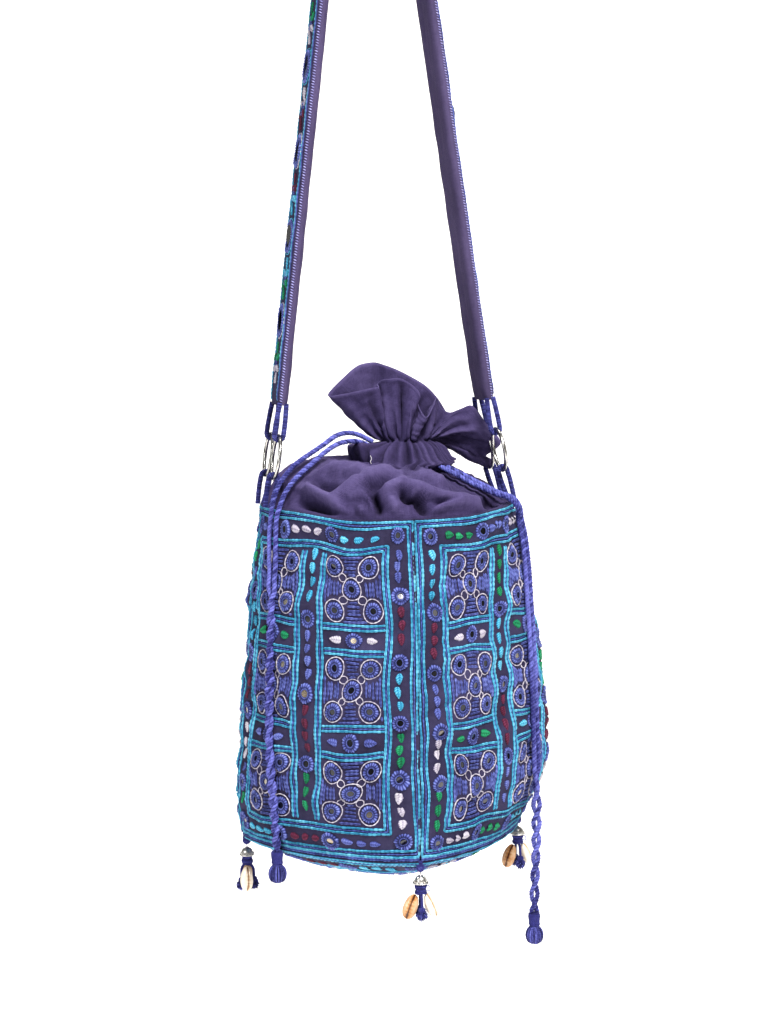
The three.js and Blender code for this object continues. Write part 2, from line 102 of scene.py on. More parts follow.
# ------------------------------------------------------------------ geometry kit
class Geo:
    """Vertices in mm, faces, a material number a face, and three numbers a vertex:
    tone, and two lengths along the cloth or thread."""

    def __init__(self):
        self.v, self.t, self.f, self.m, self.n = [], [], [], [], 0

    def add(self, verts, faces, mat, tone=0.5, st=None):
        verts = np.asarray(verts, float).reshape(-1, 3)
        k = len(verts)
        att = np.zeros((k, 3))
        att[:, 0] = tone
        if st is not None:
            att[:, 1:] = st
        self.v.append(verts)
        self.t.append(att)
        faces = np.asarray(faces, int)
        self.f.append(faces + self.n)
        self.m.append(np.full(len(faces), mat, int) if np.isscalar(mat) else np.asarray(mat, int))
        self.n += k

    def grid(self, P, mat, tone=0.5, st=None, wrap=False, flip=False):
        """P is rows x cols x 3; wrap joins the last column to the first."""
        R, C = P.shape[:2]
        i, j = np.meshgrid(np.arange(R - 1), np.arange(C if wrap else C - 1), indexing="ij")
        a = i * C + j
        b = i * C + (j + 1) % C
        c = (i + 1) * C + (j + 1) % C
        d = (i + 1) * C + j
        F = np.stack([a, b, c, d], -1).reshape(-1, 4)
        if flip:
            F = F[:, ::-1]
        tone = np.broadcast_to(tone, (R, C)).reshape(-1) if not np.isscalar(tone) else tone
        self.add(P.reshape(-1, 3), F, mat, tone, None if st is None else np.asarray(st).reshape(-1, 2))

    def make(self, name, mats, body, smooth=True):
        me = bpy.data.meshes.new(name)
        V = np.concatenate(self.v) * MM
        T = np.concatenate(self.t)
        groups = [(f, mm_) for f, mm_ in zip(self.f, self.m) if len(f)]
        loops = np.concatenate([f.reshape(-1) for f, _ in groups])
        tot = np.concatenate([np.full(len(f), f.shape[1]) for f, _ in groups])
        mat = np.concatenate([mm_ for _, mm_ in groups])
        me.vertices.add(len(V))
        me.vertices.foreach_set("co", V.astype(np.float32).reshape(-1))
        me.loops.add(len(loops))
        me.loops.foreach_set("vertex_index", loops.astype(np.int32))
        me.polygons.add(len(tot))
        me.polygons.foreach_set("loop_start", np.concatenate([[0], np.cumsum(tot)[:-1]]).astype(np.int32))
        me.polygons.foreach_set("loop_total", tot.astype(np.int32))
        me.polygons.foreach_set("material_index", mat.astype(np.int32))
        me.polygons.foreach_set("use_smooth", np.full(len(tot), smooth))
        at = me.attributes.new("make", "FLOAT_VECTOR", "POINT")
        at.data.foreach_set("vector", T.astype(np.float32).reshape(-1))
        me.update(calc_edges=True)
        me.validate()
        for mt in mats:
            me.materials.append(mt)
        o = bpy.data.objects.new(name, me)
        bpy.context.collection.objects.link(o)
        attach(o, body)
        return o

    def tris(self):
        return sum((f.shape[1] - 2) * len(f) for f in self.f)


def unit(a):
    return a / np.maximum(np.linalg.norm(a, axis=-1, keepdims=True), 1e-9)


def smoothstep(a, b, x):
    t = np.clip((x - a) / (b - a), 0, 1)
    return t * t * (3 - 2 * t)


def resample(P, step=None, count=None, closed=False):
    P = np.asarray(P, float)
    if closed:
        P = np.vstack([P, P[:1]])
    seg = np.linalg.norm(np.diff(P, axis=0), axis=1)
    cum = np.r_[0, np.cumsum(seg)]
    n = count if count else max(2, int(round(cum[-1] / step)) + (0 if closed else 1))
    s = np.linspace(0, cum[-1], n, endpoint=not closed)
    return np.stack([np.interp(s, cum, P[:, k]) for k in range(P.shape[1])], -1), s


def catmull(P, n, closed=False):
    """Points on a centripetal Catmull-Rom curve through P, at n equal lengths."""
    P = np.asarray(P, float)
    if closed:
        Q = np.vstack([P[-1], P, P[0], P[1]])
    else:
        Q = np.vstack([2 * P[0] - P[1], P, 2 * P[-1] - P[-2]])
    out = []
    for k in range(1, len(Q) - 2):
        p0, p1, p2, p3 = Q[k - 1], Q[k], Q[k + 1], Q[k + 2]
        t1 = max(np.linalg.norm(p1 - p0) ** 0.5, 1e-4)
        t2 = t1 + max(np.linalg.norm(p2 - p1) ** 0.5, 1e-4)
        t3 = t2 + max(np.linalg.norm(p3 - p2) ** 0.5, 1e-4)
        t = np.linspace(t1, t2, 14, endpoint=False)[:, None]
        a1 = (t1 - t) / t1 * p0 + t / t1 * p1
        a2 = (t2 - t) / (t2 - t1) * p1 + (t - t1) / (t2 - t1) * p2
        a3 = (t3 - t) / (t3 - t2) * p2 + (t - t2) / (t3 - t2) * p3
        b1 = (t2 - t) / t2 * a1 + t / t2 * a2
        b2 = (t3 - t) / (t3 - t1) * a2 + (t - t1) / (t3 - t1) * a3
        out.append((t2 - t) / (t2 - t1) * b1 + (t - t1) / (t2 - t1) * b2)
    out = np.vstack(out + ([] if closed else [Q[-2][None]]))
    return resample(out, count=n, closed=closed)[0]


def frames(P, closed=False, up=None):
    """Tangents and two cross directions along a path, with no sudden turning."""
    T = unit(np.gradient(P, axis=0)) if not closed else unit(np.roll(P, -1, 0) - np.roll(P, 1, 0))
    n0 = np.cross(T[0], [0.0, 1.0, 0.0] if up is None else up)
    if np.linalg.norm(n0) < 1e-3:
        n0 = np.cross(T[0], [1.0, 0.0, 0.0])
    N = [n0 / np.linalg.norm(n0)]
    for k in range(1, len(P)):
        v = N[-1] - T[k] * (N[-1] @ T[k])
        N.append(v / np.linalg.norm(v))
    N = np.array(N)
    return T, N, np.cross(T, N)


def tube(g, P, R, mat, sides=10, tone=0.5, closed=False, caps=True):
    P = np.asarray(P, float)
    T, N, B = frames(P, closed)
    R = np.broadcast_to(R, (len(P),))
    a = np.linspace(0, 2 * math.pi, sides, endpoint=False)
    G = P[:, None] + (N[:, None] * np.cos(a)[None, :, None] + B[:, None] * np.sin(a)[None, :, None]) * R[:, None, None]
    s = np.r_[0, np.cumsum(np.linalg.norm(np.diff(P, axis=0), axis=1))]
    st = np.stack(np.broadcast_arrays(s[:, None], a[None] * R.mean()), -1)
    tone2 = np.broadcast_to(np.asarray(tone), (len(P), sides)) if not np.isscalar(tone) else np.full((len(P), sides), tone)
    if closed:
        G = np.concatenate([G, G[:1]]); st = np.concatenate([st, st[:1]]); tone2 = np.concatenate([tone2, tone2[:1]])
    g.grid(G, mat, tone2, st, wrap=True, flip=True)
    if caps and not closed:
        for idx, c, fl in ((0, P[0], False), (len(P) - 1, P[-1], True)):
            ring = G[idx]
            V = np.vstack([ring, c])
            F = [[k, (k + 1) % sides, sides] if fl else [(k + 1) % sides, k, sides] for k in range(sides)]
            g.add(V, F, mat, float(np.mean(tone2[idx])))


# ------------------------------------------------------------------ the bag's outline, as the CAD has it
BODY = np.array([
    [0, 93, 0, 89.6, 92.1, 92, 1.95], [30, 95, 0, 94.5, 99.4, 94, 1.95], [60, 98, 0, 99.2, 104.7, 97, 1.93],
    [95, 102, -1, 102.3, 109.5, 101, 1.92], [130, 105, -2, 105.6, 112.7, 104, 1.90], [165, 107.5, -2.5, 109.4, 114.5, 106.5, 1.86],
    [190, 109, -3, 111.6, 113.8, 107.5, 1.80], [204, 109.8, -3.2, 112.2, 107.6, 108.5, 1.74], [216, 110.4, -3.6, 112.1, 100.4, 109.2, 1.66],
    [228, 111, -4, 110, 95.0, 110, 1.55]])
PP = 48
H_BODY = 228.0


def section(h):
    Rf, xf, Rl, Rr, Rb, n = [np.interp(h, BODY[:, 0], BODY[:, k]) for k in range(1, 7)]
    e = 2 / n
    pts = []
    for sx, a, sy, b, flip in ((1, Rr, -1, Rf, 0), (1, Rr, 1, Rb, 1), (-1, Rl, 1, Rb, 0), (-1, Rl, -1, Rf, 1)):
        t = np.linspace(0, 1, 97)
        ph = (math.pi / 2) * ((1 - t) if flip else t)
        s, c = np.abs(np.sin(ph)) ** e, np.abs(np.cos(ph)) ** e
        q = np.stack([sx * a * s + (xf * c * c if sy < 0 else 0), sy * b * c], -1)
        pts.append(resample(q, count=PP + 1)[0][:-1])
    P = np.vstack(pts)
    for _ in range(6):
        P = 0.25 * np.roll(P, 1, 0) + 0.5 * P + 0.25 * np.roll(P, -1, 0)
    return P


def lift(x, h):
    return np.maximum(0, 1 - h / 110.0) * (6 * smoothstep(35, 85, -x) + 3 * smoothstep(35, 85, x))


HS = np.arange(-8.0, 240.1, 2.0)
_sec = np.stack([section(min(max(h, 0), 228)) for h in HS])
_tan = np.roll(_sec, -1, 1) - np.roll(_sec, 1, 1)
_nor = unit(np.stack([_tan[..., 1], -_tan[..., 0]], -1))
_table = np.concatenate([_sec, _nor], -1)                       # rows by 192 by 4


def outline(i, h):
    """x, y and the outward normal's x, y at outline place i (0 to 192) and depth h."""
    i, h = np.broadcast_arrays(np.asarray(i, float), np.asarray(h, float))
    a = (h - HS[0]) / 2.0
    a0 = np.clip(np.floor(a).astype(int), 0, len(HS) - 2)
    fa = np.clip(a - a0, 0, 1)[..., None]
    j0 = np.floor(i).astype(int)
    fj = (i - j0)[..., None]
    j1 = (j0 + 1) % 192
    j0 = j0 % 192
    q = (_table[a0, j0] * (1 - fj) + _table[a0, j1] * fj) * (1 - fa) + (_table[a0 + 1, j0] * (1 - fj) + _table[a0 + 1, j1] * fj) * fa
    return q


def waves(seed, count, lo, hi):
    r = np.random.default_rng(seed)
    ang = r.uniform(0, 2 * math.pi, count)
    wl = r.uniform(lo, hi, count)
    ph = r.uniform(0, 2 * math.pi, count)
    k = 2 * math.pi / wl
    return np.cos(ang) * k, np.sin(ang) * k, ph


def field(wv, x, y):
    out = 0.0
    for kx, ky, p in zip(*wv):
        out = out + np.sin(kx * x + ky * y + p)
    return out / math.sqrt(len(wv[0]))


W_BIG = waves(11, 7, 45, 95)
W_MID = waves(12, 9, 16, 32)
W_FINE = waves(13, 10, 6, 12)


def pucker(i, h):
    """How far the embroidered wall stands out of the plain outline, in mm."""
    x = i * 3.3
    s = np.minimum(i % PP, PP - i % PP) * 3.3                      # distance to the nearest seam
    edge = smoothstep(0, 14, h) * smoothstep(0, 14, H_BODY - h)
    d = 1.15 * field(W_BIG, x, h) * edge + 0.85 * field(W_MID, x, h) * (0.35 + 0.65 * edge) + 0.18 * field(W_FINE, x, h)
    d = d - 1.3 * np.exp(-(s / 2.2) ** 2) + 0.5 * np.exp(-((s - 6) / 4) ** 2)
    # small cross wrinkles in the plain strips beside the seams
    wr = np.sin(h / 1.55 + 2.6 * np.sin(h / 21.0 + i * 0.35) + 0.5 * i)
    d = d + 0.85 * np.exp(-((s - 13) / 6.5) ** 2) * (0.35 + 0.65 * np.sin(h / 13.0 + i * 0.2) ** 2) * np.where(wr > 0, wr ** 0.7, -np.abs(wr) ** 1.4) * smoothstep(14, 30, h)
    return d


def wall(i, h, off=0.0):
    """Points on the bag's wall and their outward normals, with the puckers."""
    i, h = np.broadcast_arrays(np.asarray(i, float), np.asarray(h, float))
    e = 0.35

    def pos(i, h):
        q = outline(i, h)
        d = pucker(i % 192, h)[..., None]
        xy = q[..., :2] + q[..., 2:] * (d - 0.4)
        return np.concatenate([xy, (RIM - h + lift(q[..., 0], h))[..., None]], -1)

    P = pos(i, h)
    a = pos(i + e / 3.3, h) - P
    b = pos(i, h + e) - P
    N = unit(np.cross(b, a))
    return P + N * np.asarray(off, float)[..., None], N


# The sewn design's own coordinates: x from 0 to 165 across a panel and h from 0 to 228
# down it. Hand stitching wanders a little.
W_HANDX = [waves(40 + k, 6, 30, 80) for k in range(4)]
W_HANDH = [waves(50 + k, 6, 30, 80) for k in range(4)]


def panel_i(p, x, h):
    f = np.asarray(x, float) / 165.0
    if p == 0:                      # the front right panel is drawn in towards its front seam
        k = smoothstep(0, 90, np.asarray(h, float))
        f = f - k * 0.10 * smoothstep(0.0, 0.62, f) * (1 - smoothstep(0.86, 1.0, f))
    return p * PP + np.clip(f, 0.0, 1.0) * PP


def design(p, x, h, off=0.0, wander=1.0):
    x = np.asarray(x, float)
    h = np.asarray(h, float)
    fx = smoothstep(0, 9, x) * smoothstep(0, 9, 165 - x)
    fh = smoothstep(0, 9, h) * smoothstep(0, 9, 228 - h)
    x2 = x + 1.0 * wander * fx * field(W_HANDX[p], x, h)
    h2 = h + 1.0 * wander * fh * field(W_HANDH[p], x, h)
    return wall(panel_i(p, x2, h2), h2, off)


# ------------------------------------------------------------------ stitches
PITCH = 3.1


def ribbon(g, P, N, mat, half=0.86, height=0.95, closed=False, coarse=False, seed=0, light=0.0):
    """A line of chain stitches along P, lying on normals N."""
    n = len(P)
    if n < 3:
        return
    r = np.random.default_rng(seed)
    T = unit(np.roll(P, -1, 0) - np.roll(P, 1, 0)) if closed else unit(np.gradient(P, axis=0))
    S = unit(np.cross(T, N))
    per = 2 if coarse else 3
    k = np.arange(n)
    ph = k % per
    stitch = k // per
    rnd = r.uniform(-1, 1, stitch.max() + 2)[stitch]
    w = half * np.where(ph == 0, 0.80, np.where(ph == 1, 1.04, 0.96)) * (1 + 0.08 * rnd)
    hh = height * np.where(ph == 0, 0.62, np.where(ph == 1, 1.0, 0.92)) * (1 + 0.12 * rnd)
    if not closed:
        w[0] *= 0.5; w[-1] *= 0.5; hh[0] *= 0.3; hh[-1] *= 0.3
    thin = half < 0.8
    lat = np.array([-1, 0.1, 1]) if thin else np.array([-1, -0.56, 0.0, 0.56, 1])
    up = np.array([-0.12, 0.95, -0.12]) if thin else np.array([-0.12, 0.86, 0.42, 0.86, -0.12])
    jit = 0.10 * half * r.uniform(-1, 1, stitch.max() + 2)[stitch]
    G = P[:, None] + S[:, None] * (lat[None, :] * w[:, None] + jit[:, None])[..., None] + N[:, None] * (up[None, :] * hh[:, None] + 0.05)[..., None]
    slow = np.sin(k / 9.0 + seed % 7) * 0.07
    # painted shade and highlight: the tone is darkest at the stitch edges and at each stitch's pinch, and lightest on
    # the crown; the per-stitch and slow terms are random colour
    tone = 0.5 + light + (0.13 * rnd + slow)[:, None] + (np.array([-0.40, 0.22, -0.40]) if thin else np.array([-0.50, 0.20, -0.40, 0.20, -0.50]))[None] + np.where(ph == 0, -0.16 if coarse else -0.10, 0.05)[:, None]
    s = np.arange(n) * 0.9
    st = np.stack(np.broadcast_arrays(s[:, None], lat[None] * half), -1)
    if closed:
        G = np.concatenate([G, G[:1]]); tone = np.concatenate([tone, tone[:1]]); st = np.concatenate([st, st[:1]])
    g.grid(G, mat, np.clip(tone, 0, 1), st)


def sew(g, place, pts, mat, half=0.86, height=0.95, closed=False, coarse=False, light=0.0, step=None):
    """Chain stitches along a drawn line; place maps drawing points to the cloth."""
    pts = np.asarray(pts, float)
    coarse = coarse or half < 0.8
    st = step or (PITCH / 2 if coarse else PITCH / 3)
    n = None
    Q, s = resample(pts, step=st, closed=closed)
    if closed:
        per = 2 if coarse else 3
        n = max(per * 2, int(round(len(Q) / per)) * per)
        Q, s = resample(pts, count=n, closed=True)
    P, N = place(Q[:, 0], Q[:, 1])
    ribbon(g, P, N, mat, half, height, closed, coarse, seed=int(abs(pts[0, 0] * 13 + pts[0, 1] * 7 + len(Q))) % 99991, light=light)


def mirror_ring(g, place, x, y, mat, mirror_mat, r_out=6.2, r_in=2.1, seed=0, fine=True, petals=18):
    """A small mirror held by a round of buttonhole stitches."""
    r = np.random.default_rng(seed)
    k = r_out / 6.2
    R = np.array([r_in * 0.98, r_in + 0.42 * k, r_in + 1.25 * k, r_in + 2.6 * k, r_out - 0.55 * k, r_out])
    if r_in > 6:
        R = r_in * 0.98 + (r_out - r_in * 0.98) * np.array([0, 0.16, 0.34, 0.62, 0.86, 1.0])
    Hh = np.array([0.55, 1.5, 0.8, 1.55, 1.25, -0.1])
    n = petals * 2
    a = np.arange(n) * 2 * math.pi / n + r.uniform(0, 6)
    even = np.where(np.arange(n) % 2 == 0, 1.0, 0.0)
    rnd = r.uniform(-1, 1, petals)[np.arange(n) // 2]
    el = 1 + r.uniform(-0.05, 0.05)
    tiltx, tilty = r.uniform(-0.02, 0.02, 2)
    rows = []
    tones = []
    for q in range(6):
        rad = R[q] * (1 + (0.0 if q < 3 else (0.075 * even * (q >= 4) + 0.04 * rnd)))
        hh = Hh[q] * min(k, 1.0) * (1 + (0.12 * rnd if q > 1 else 0)) - (0 if q in (0, 5) else 0.62 * min(k, 1.0) * (1 - even) * (q != 2))
        px, py = x + rad * np.cos(a) * el, y + rad * np.sin(a) / el
        P, N = place(px, py)
        c, cn = place(np.array([x]), np.array([y]))
        P = P + N * (hh + 0.1 + np.zeros(n))[:, None]
        rows.append(P)
        # painted shade: the rows by the glass, in the groove and under the outer edge are near dark, and the gaps
        # between the buttonhole stitches are darker than their crests
        base = [0.05, 0.60, 0.10, 0.44, 0.50, 0.02][q]
        tones.append(base + 0.55 * (even - 0.5) * (q in (1, 3, 4)) + 0.18 * rnd * (q > 2) + np.zeros(n))
    st = np.stack([np.stack([np.full(n, R[q]), a * 4.0], -1) for q in range(6)])
    g.grid(np.stack(rows), mat, np.clip(np.stack(tones), 0, 1), st, wrap=True)
    # the glass, slightly tilted in its seat
    c, cn = place(np.array([x]), np.array([y]))
    m = 12
    b = np.arange(m) * 2 * math.pi / m
    px, py = x + (r_in + 0.35) * np.cos(b), y + (r_in + 0.35) * np.sin(b)
    P, N = place(px, py)
    mid = P.mean(0)
    nn = unit(cn[0] + 0.10 * r.normal(size=3))
    P = P - nn * ((P - mid) @ nn)[:, None] + cn[0] * 0.55 * min(k, 1.0)
    V = np.vstack([P, P.mean(0) + cn[0] * 0.04])
    # painted reflection: each glass gets a colour picked at random from near black to near white, standing for what it
    # reflects
    g.add(V, [[q, (q + 1) % m, m] for q in range(m)], mirror_mat, float(r.choice([0.08, 0.16, 0.3, 0.42, 0.65, 0.9], p=[0.32, 0.26, 0.18, 0.12, 0.08, 0.04])))


def leaf(g, place, x, y, ang, mat, L=7.2, Wd=4.6, seed=0, hgt=1.35):
    """A satin stitch leaf: slanting threads from a middle vein, pointed at one end."""
    r = np.random.default_rng(seed)
    L *= 1 + r.uniform(-0.09, 0.09); Wd *= 1 + r.uniform(-0.1, 0.1)
    ang = ang + r.uniform(-0.12, 0.12)
    nl, nw = 13, 7
    s = np.linspace(0, 1, nl)[:, None]
    t = np.linspace(-1, 1, nw)[None, :]
    w = np.sin(math.pi * np.clip(0.10 + 0.90 * s, 0, 1) ** 0.80) ** 0.62
    w = w * (1 + 0.10 * r.uniform(-1, 1, (nl, 1)))
    w[-1] = 0.16; w[0] = 0.50
    u = (s - 0.5) * L + 0.35 * np.abs(t) * (0.5 - s) * 0 + 0 * t
    v = t * w * Wd / 2 + 0.35 * np.sin(s * 3.0 + r.uniform(0, 6))
    prof = np.clip(1 - np.abs(t) ** 2.6, 0, 1)
    ridge = 0.5 + 0.5 * np.cos((s * 9.5 - np.abs(t) * 1.7) * math.pi)
    z = hgt * prof * (0.55 + 0.45 * w) - 0.22 * np.exp(-(t / 0.2) ** 2) + 0.22 * (ridge - 0.5) * prof
    z = np.where(np.abs(t) > 0.99, -0.12, z)
    ca, sa = math.cos(ang), math.sin(ang)
    P, N = place((x + u * ca - v * sa).reshape(-1), (y + u * sa + v * ca).reshape(-1))
    P = P + N * z.reshape(-1)[:, None]
    # painted shade and highlight: lighter on the crests of the satin stitches, darker down the middle vein and at the
    # edges, plus random colour
    tone = np.clip(0.58 + 0.5 * (ridge - 0.5) - 0.26 * np.exp(-(t / 0.22) ** 2) - 0.5 * (np.abs(t) > 0.99) + r.uniform(-0.12, 0.12), 0, 1)
    g.grid(P.reshape(nl, nw, 3), mat, tone, np.stack([u, v], -1))


def circle_pts(x, y, r, n=24, wob=0.05, seed=0):
    rr = np.random.default_rng(seed)
    a = np.linspace(0, 2 * math.pi, n, endpoint=False)
    rad = r * (1 + wob * np.sin(a * 2 + rr.uniform(0, 6)) * rr.uniform(0.2, 1) + 0.03 * np.sin(a * 3 + rr.uniform(0, 6)))
    return np.stack([x + rad * np.cos(a), y + rad * np.sin(a)], -1)


def fill_box(g, place, x0, x1, y0, y1, V, W, M, seed=0, r_ring=5.75, r_c=7.35, spread=(13.6, None)):
    """One box of the design: five mirror rings in white circles, filled in with rows."""
    cx, cy = (x0 + x1) / 2, (y0 + y1) / 2
    r = np.random.default_rng(seed)
    dx = min(spread[0], (x1 - x0) / 2 - 8.2)
    dy = (y1 - y0) / 2 - 8.3
    cent = [(cx, cy)] + [(cx + a * dx + r.uniform(-0.8, 0.8), cy + b * dy + r.uniform(-0.6, 0.6)) for a in (-1, 1) for b in (-1, 1)]
    small = []
    for (ax, ay) in cent[1:]:
        d = math.hypot(ax - cx, ay - cy)
        gap = max(d - 2 * r_c, 2.6)
        q = (r_c + gap / 2) / d
        small.append((cx + (ax - cx) * q, cy + (ay - cy) * q, max(gap / 2 + 0.35, 1.9)))
    for k, (ax, ay) in enumerate(cent):
        mirror_ring(g, place, ax, ay, V, M, r_out=r_ring * (1 + r.uniform(-0.04, 0.04)), r_in=2.05, seed=seed * 17 + k, petals=18)
        sew(g, place, circle_pts(ax, ay, r_c * (1 + r.uniform(-0.03, 0.03)), seed=seed * 5 + k), W, half=0.48, height=0.9, closed=True, light=0.06)
    for k, (ax, ay, ar) in enumerate(small):
        sew(g, place, circle_pts(ax, ay, ar, 14, 0.12, seed=seed * 3 + k), W, half=0.41, height=0.75, closed=True, light=0.06)
    w2, h2 = (x1 - x0) / 2, (y1 - y0) / 2

    def free(x, y):
        ok = np.ones(len(x), bool)
        for ax, ay in cent:
            ok &= (x - ax) ** 2 + (y - ay) ** 2 > (r_c + 1.25) ** 2
        for ax, ay, ar in small:
            ok &= (x - ax) ** 2 + (y - ay) ** 2 > (ar + 1.0) ** 2
        return ok

    step = PITCH / 2
    pitch = 2.5
    for axis in (0, 1):
        lo, hi = (y0, y1) if axis == 0 else (x0, x1)
        a0, a1 = (x0, x1) if axis == 0 else (y0, y1)
        mid, amid = (cy, cx) if axis == 0 else (cx, cy)
        rows = np.linspace(lo + 1.3, hi - 1.3, int(round((hi - lo - 2.6) / pitch)) + 1)
        for c in rows:
            t = np.arange(a0 + 0.9, a1 - 0.7, step)
            cc = c + 0.22 * np.sin(t / 5.0 + c) + 0 * t
            X, Y = (t, cc) if axis == 0 else (cc, t)
            keep = free(X, Y)
            k1 = np.abs(Y - cy) / h2 + (0.0) >= np.abs(X - cx) / w2 if axis == 0 else np.abs(X - cx) / w2 > np.abs(Y - cy) / h2
            keep &= k1
            idx = np.where(keep)[0]
            if not len(idx):
                continue
            for run in np.split(idx, np.where(np.diff(idx) > 1)[0] + 1):
                if len(run) < 3:
                    continue
                P, N = place(X[run], Y[run])
                ribbon(g, P, N, V, half=0.93, height=1.3, coarse=True, seed=int(seed * 31 + c * 7 + run[0]), light=0.0)


# ------------------------------------------------------------------ materials
def rgb(r, g, b):
    f = lambda c: ((c / 255 + 0.055) / 1.055) ** 2.4 if c > 10 else c / 255 / 12.92
    return (f(r), f(g), f(b), 1.0)


class Mat:
    """A procedural material: the make attribute gives tone in x and lengths in y and z."""

    def __init__(self, name):
        self.mat = bpy.data.materials.new(name)
        self.mat.use_nodes = True
        self.nt = self.mat.node_tree
        self.nt.nodes.clear()
        self.out = self.nt.nodes.new("ShaderNodeOutputMaterial")
        self.bsdf = self.nt.nodes.new("ShaderNodeBsdfPrincipled")
        self.link(self.bsdf.outputs[0], self.out.inputs[0])

    def link(self, a, b):
        self.nt.links.new(a, b)

    def node(self, kind, **kw):
        n = self.nt.nodes.new("ShaderNode" + kind)
        for k, v in kw.items():
            setattr(n, k, v)
        return n

    def put(self, socket, v):
        if hasattr(v, "is_linked") or isinstance(v, bpy.types.NodeSocket):
            self.link(v, socket)
        else:
            socket.default_value = v

    def math(self, op, a, b=None, c=None, clamp=False):
        n = self.node("Math", operation=op, use_clamp=clamp)
        for k, v in enumerate((a, b, c)):
            if v is not None:
                self.put(n.inputs[k], v)
        return n.outputs[0]

    def mix(self, f, a, b):
        n = self.node("Mix", data_type="RGBA")
        self.put(n.inputs[0], f)
        self.put(n.inputs[6], a)
        self.put(n.inputs[7], b)
        return n.outputs[2]

    def obj(self):
        return self.node("TexCoord").outputs["Object"]

    def noise(self, scale, detail=3.0, rough=0.55, vec=None, distortion=0.0):
        n = self.node("TexNoise")
        n.inputs["Scale"].default_value = scale
        n.inputs["Detail"].default_value = detail
        n.inputs["Roughness"].default_value = rough
        n.inputs["Distortion"].default_value = distortion
        self.link(vec if vec is not None else self.obj(), n.inputs["Vector"])
        return n.outputs["Fac"]

    def ramp(self, f, stops):
        n = self.node("ValToRGB")
        el = n.color_ramp.elements
        while len(el) > 1:
            el.remove(el[0])
        el[0].position, el[0].color = stops[0]
        for pos, col in stops[1:]:
            e = el.new(pos)
            e.color = col
        self.link(f, n.inputs[0])
        return n.outputs[0]

    def attr(self):
        a = self.node("Attribute", attribute_name="make")
        s = self.node("SeparateXYZ")
        self.link(a.outputs["Vector"], s.inputs[0])
        return s.outputs

    def bump(self, height, distance, strength=1.0, normal=None):
        n = self.node("Bump")
        n.inputs["Strength"].default_value = strength
        n.inputs["Distance"].default_value = distance
        self.link(height, n.inputs["Height"])
        if normal is not None:
            self.link(normal, n.inputs["Normal"])
        return n.outputs[0]

    def set(self, **kw):
        names = {"rough": "Roughness", "metal": "Metallic", "sheen": "Sheen Weight", "sheen_rough": "Sheen Roughness",
                 "sheen_tint": "Sheen Tint", "coat": "Coat Weight", "coat_rough": "Coat Roughness", "ior": "IOR",
                 "spec": "Specular IOR Level", "color": "Base Color", "normal": "Normal", "sss": "Subsurface Weight",
                 "sss_r": "Subsurface Radius", "sss_s": "Subsurface Scale"}
        for k, v in kw.items():
            self.put(self.bsdf.inputs[names[k]], v)
        return self.mat


def thread(name, dark, mid, light, twist=0.55, sheen=0.35):
    """Stranded cotton: the tone gives a painted highlight on the stitch crowns and painted shade in the holes, thread
    fibres along it.
    """
    M = Mat(name)
    x, y, z = M.attr()
    n1 = M.noise(420.0, 3.0, 0.6)
    n2 = M.noise(60.0, 2.0, 0.5)
    f = M.math("ADD", M.math("MULTIPLY", x, 0.86), M.math("MULTIPLY", n1, 0.30))
    f = M.math("ADD", f, M.math("MULTIPLY", n2, 0.22))
    f = M.math("SUBTRACT", f, 0.22, clamp=True)
    col = M.ramp(f, [(0.12, dark), (0.46, mid), (0.86, light)])
    # fibres of the thread, slanting along each stitch
    ph = M.math("ADD", M.math("MULTIPLY", y, 6.2 / twist * 0.5), M.math("MULTIPLY", z, 6.2 / twist))
    fib = M.math("SINE", ph)
    fib = M.math("ADD", fib, M.math("MULTIPLY", n1, 2.0))
    nrm = M.bump(fib, 0.00012, 0.75)
    return M.set(color=col, rough=0.72, sheen=sheen, sheen_rough=0.45, sheen_tint=light, spec=0.28, normal=nrm)


def woven(name, dark, mid, light, pitch=0.52, streak=0.5, sheen=0.25, depth=0.00016):
    """Plain weave cotton on the cloth's own lengths."""
    M = Mat(name)
    x, y, z = M.attr()
    big = M.noise(14.0, 3.0, 0.6)
    fine = M.noise(300.0, 3.0, 0.65)
    k = 2 * math.pi / (2 * pitch)
    a = M.math("SINE", M.math("MULTIPLY", y, k))
    b = M.math("SINE", M.math("MULTIPLY", z, k))
    weave = M.math("MULTIPLY", a, b)
    wa = M.math("ABSOLUTE", M.math("SINE", M.math("MULTIPLY", y, k)))
    wb = M.math("ABSOLUTE", M.math("SINE", M.math("MULTIPLY", z, k)))
    hgt = M.math("ADD", M.math("MAXIMUM", wa, wb), M.math("MULTIPLY", weave, 0.35))
    comb = M.node("CombineXYZ")
    M.link(M.math("MULTIPLY", y, 0.0012), comb.inputs[0])
    M.link(M.math("MULTIPLY", z, 0.010), comb.inputs[1])
    st1 = M.noise(130.0, 2.0, 0.6, vec=comb.outputs[0])
    comb2 = M.node("CombineXYZ")
    M.link(M.math("MULTIPLY", y, 0.010), comb2.inputs[0])
    M.link(M.math("MULTIPLY", z, 0.0012), comb2.inputs[1])
    st2 = M.noise(130.0, 2.0, 0.6, vec=comb2.outputs[0])
    f = M.math("ADD", M.math("MULTIPLY", x, 0.55), M.math("MULTIPLY", big, 0.30))
    f = M.math("ADD", f, M.math("MULTIPLY", fine, 0.22))
    f = M.math("ADD", f, M.math("MULTIPLY", M.math("ADD", st1, st2), 0.30 * streak))
    f = M.math("ADD", f, M.math("MULTIPLY", weave, 0.08))
    f = M.math("SUBTRACT", f, 0.30, clamp=True)
    col = M.ramp(f, [(0.08, dark), (0.45, mid), (0.95, light)])
    h = M.math("ADD", hgt, M.math("MULTIPLY", fine, 0.9))
    nrm = M.bump(h, depth, 0.7)
    return M.set(color=col, rough=0.85, sheen=sheen, sheen_rough=0.5, sheen_tint=light, spec=0.18, normal=nrm)


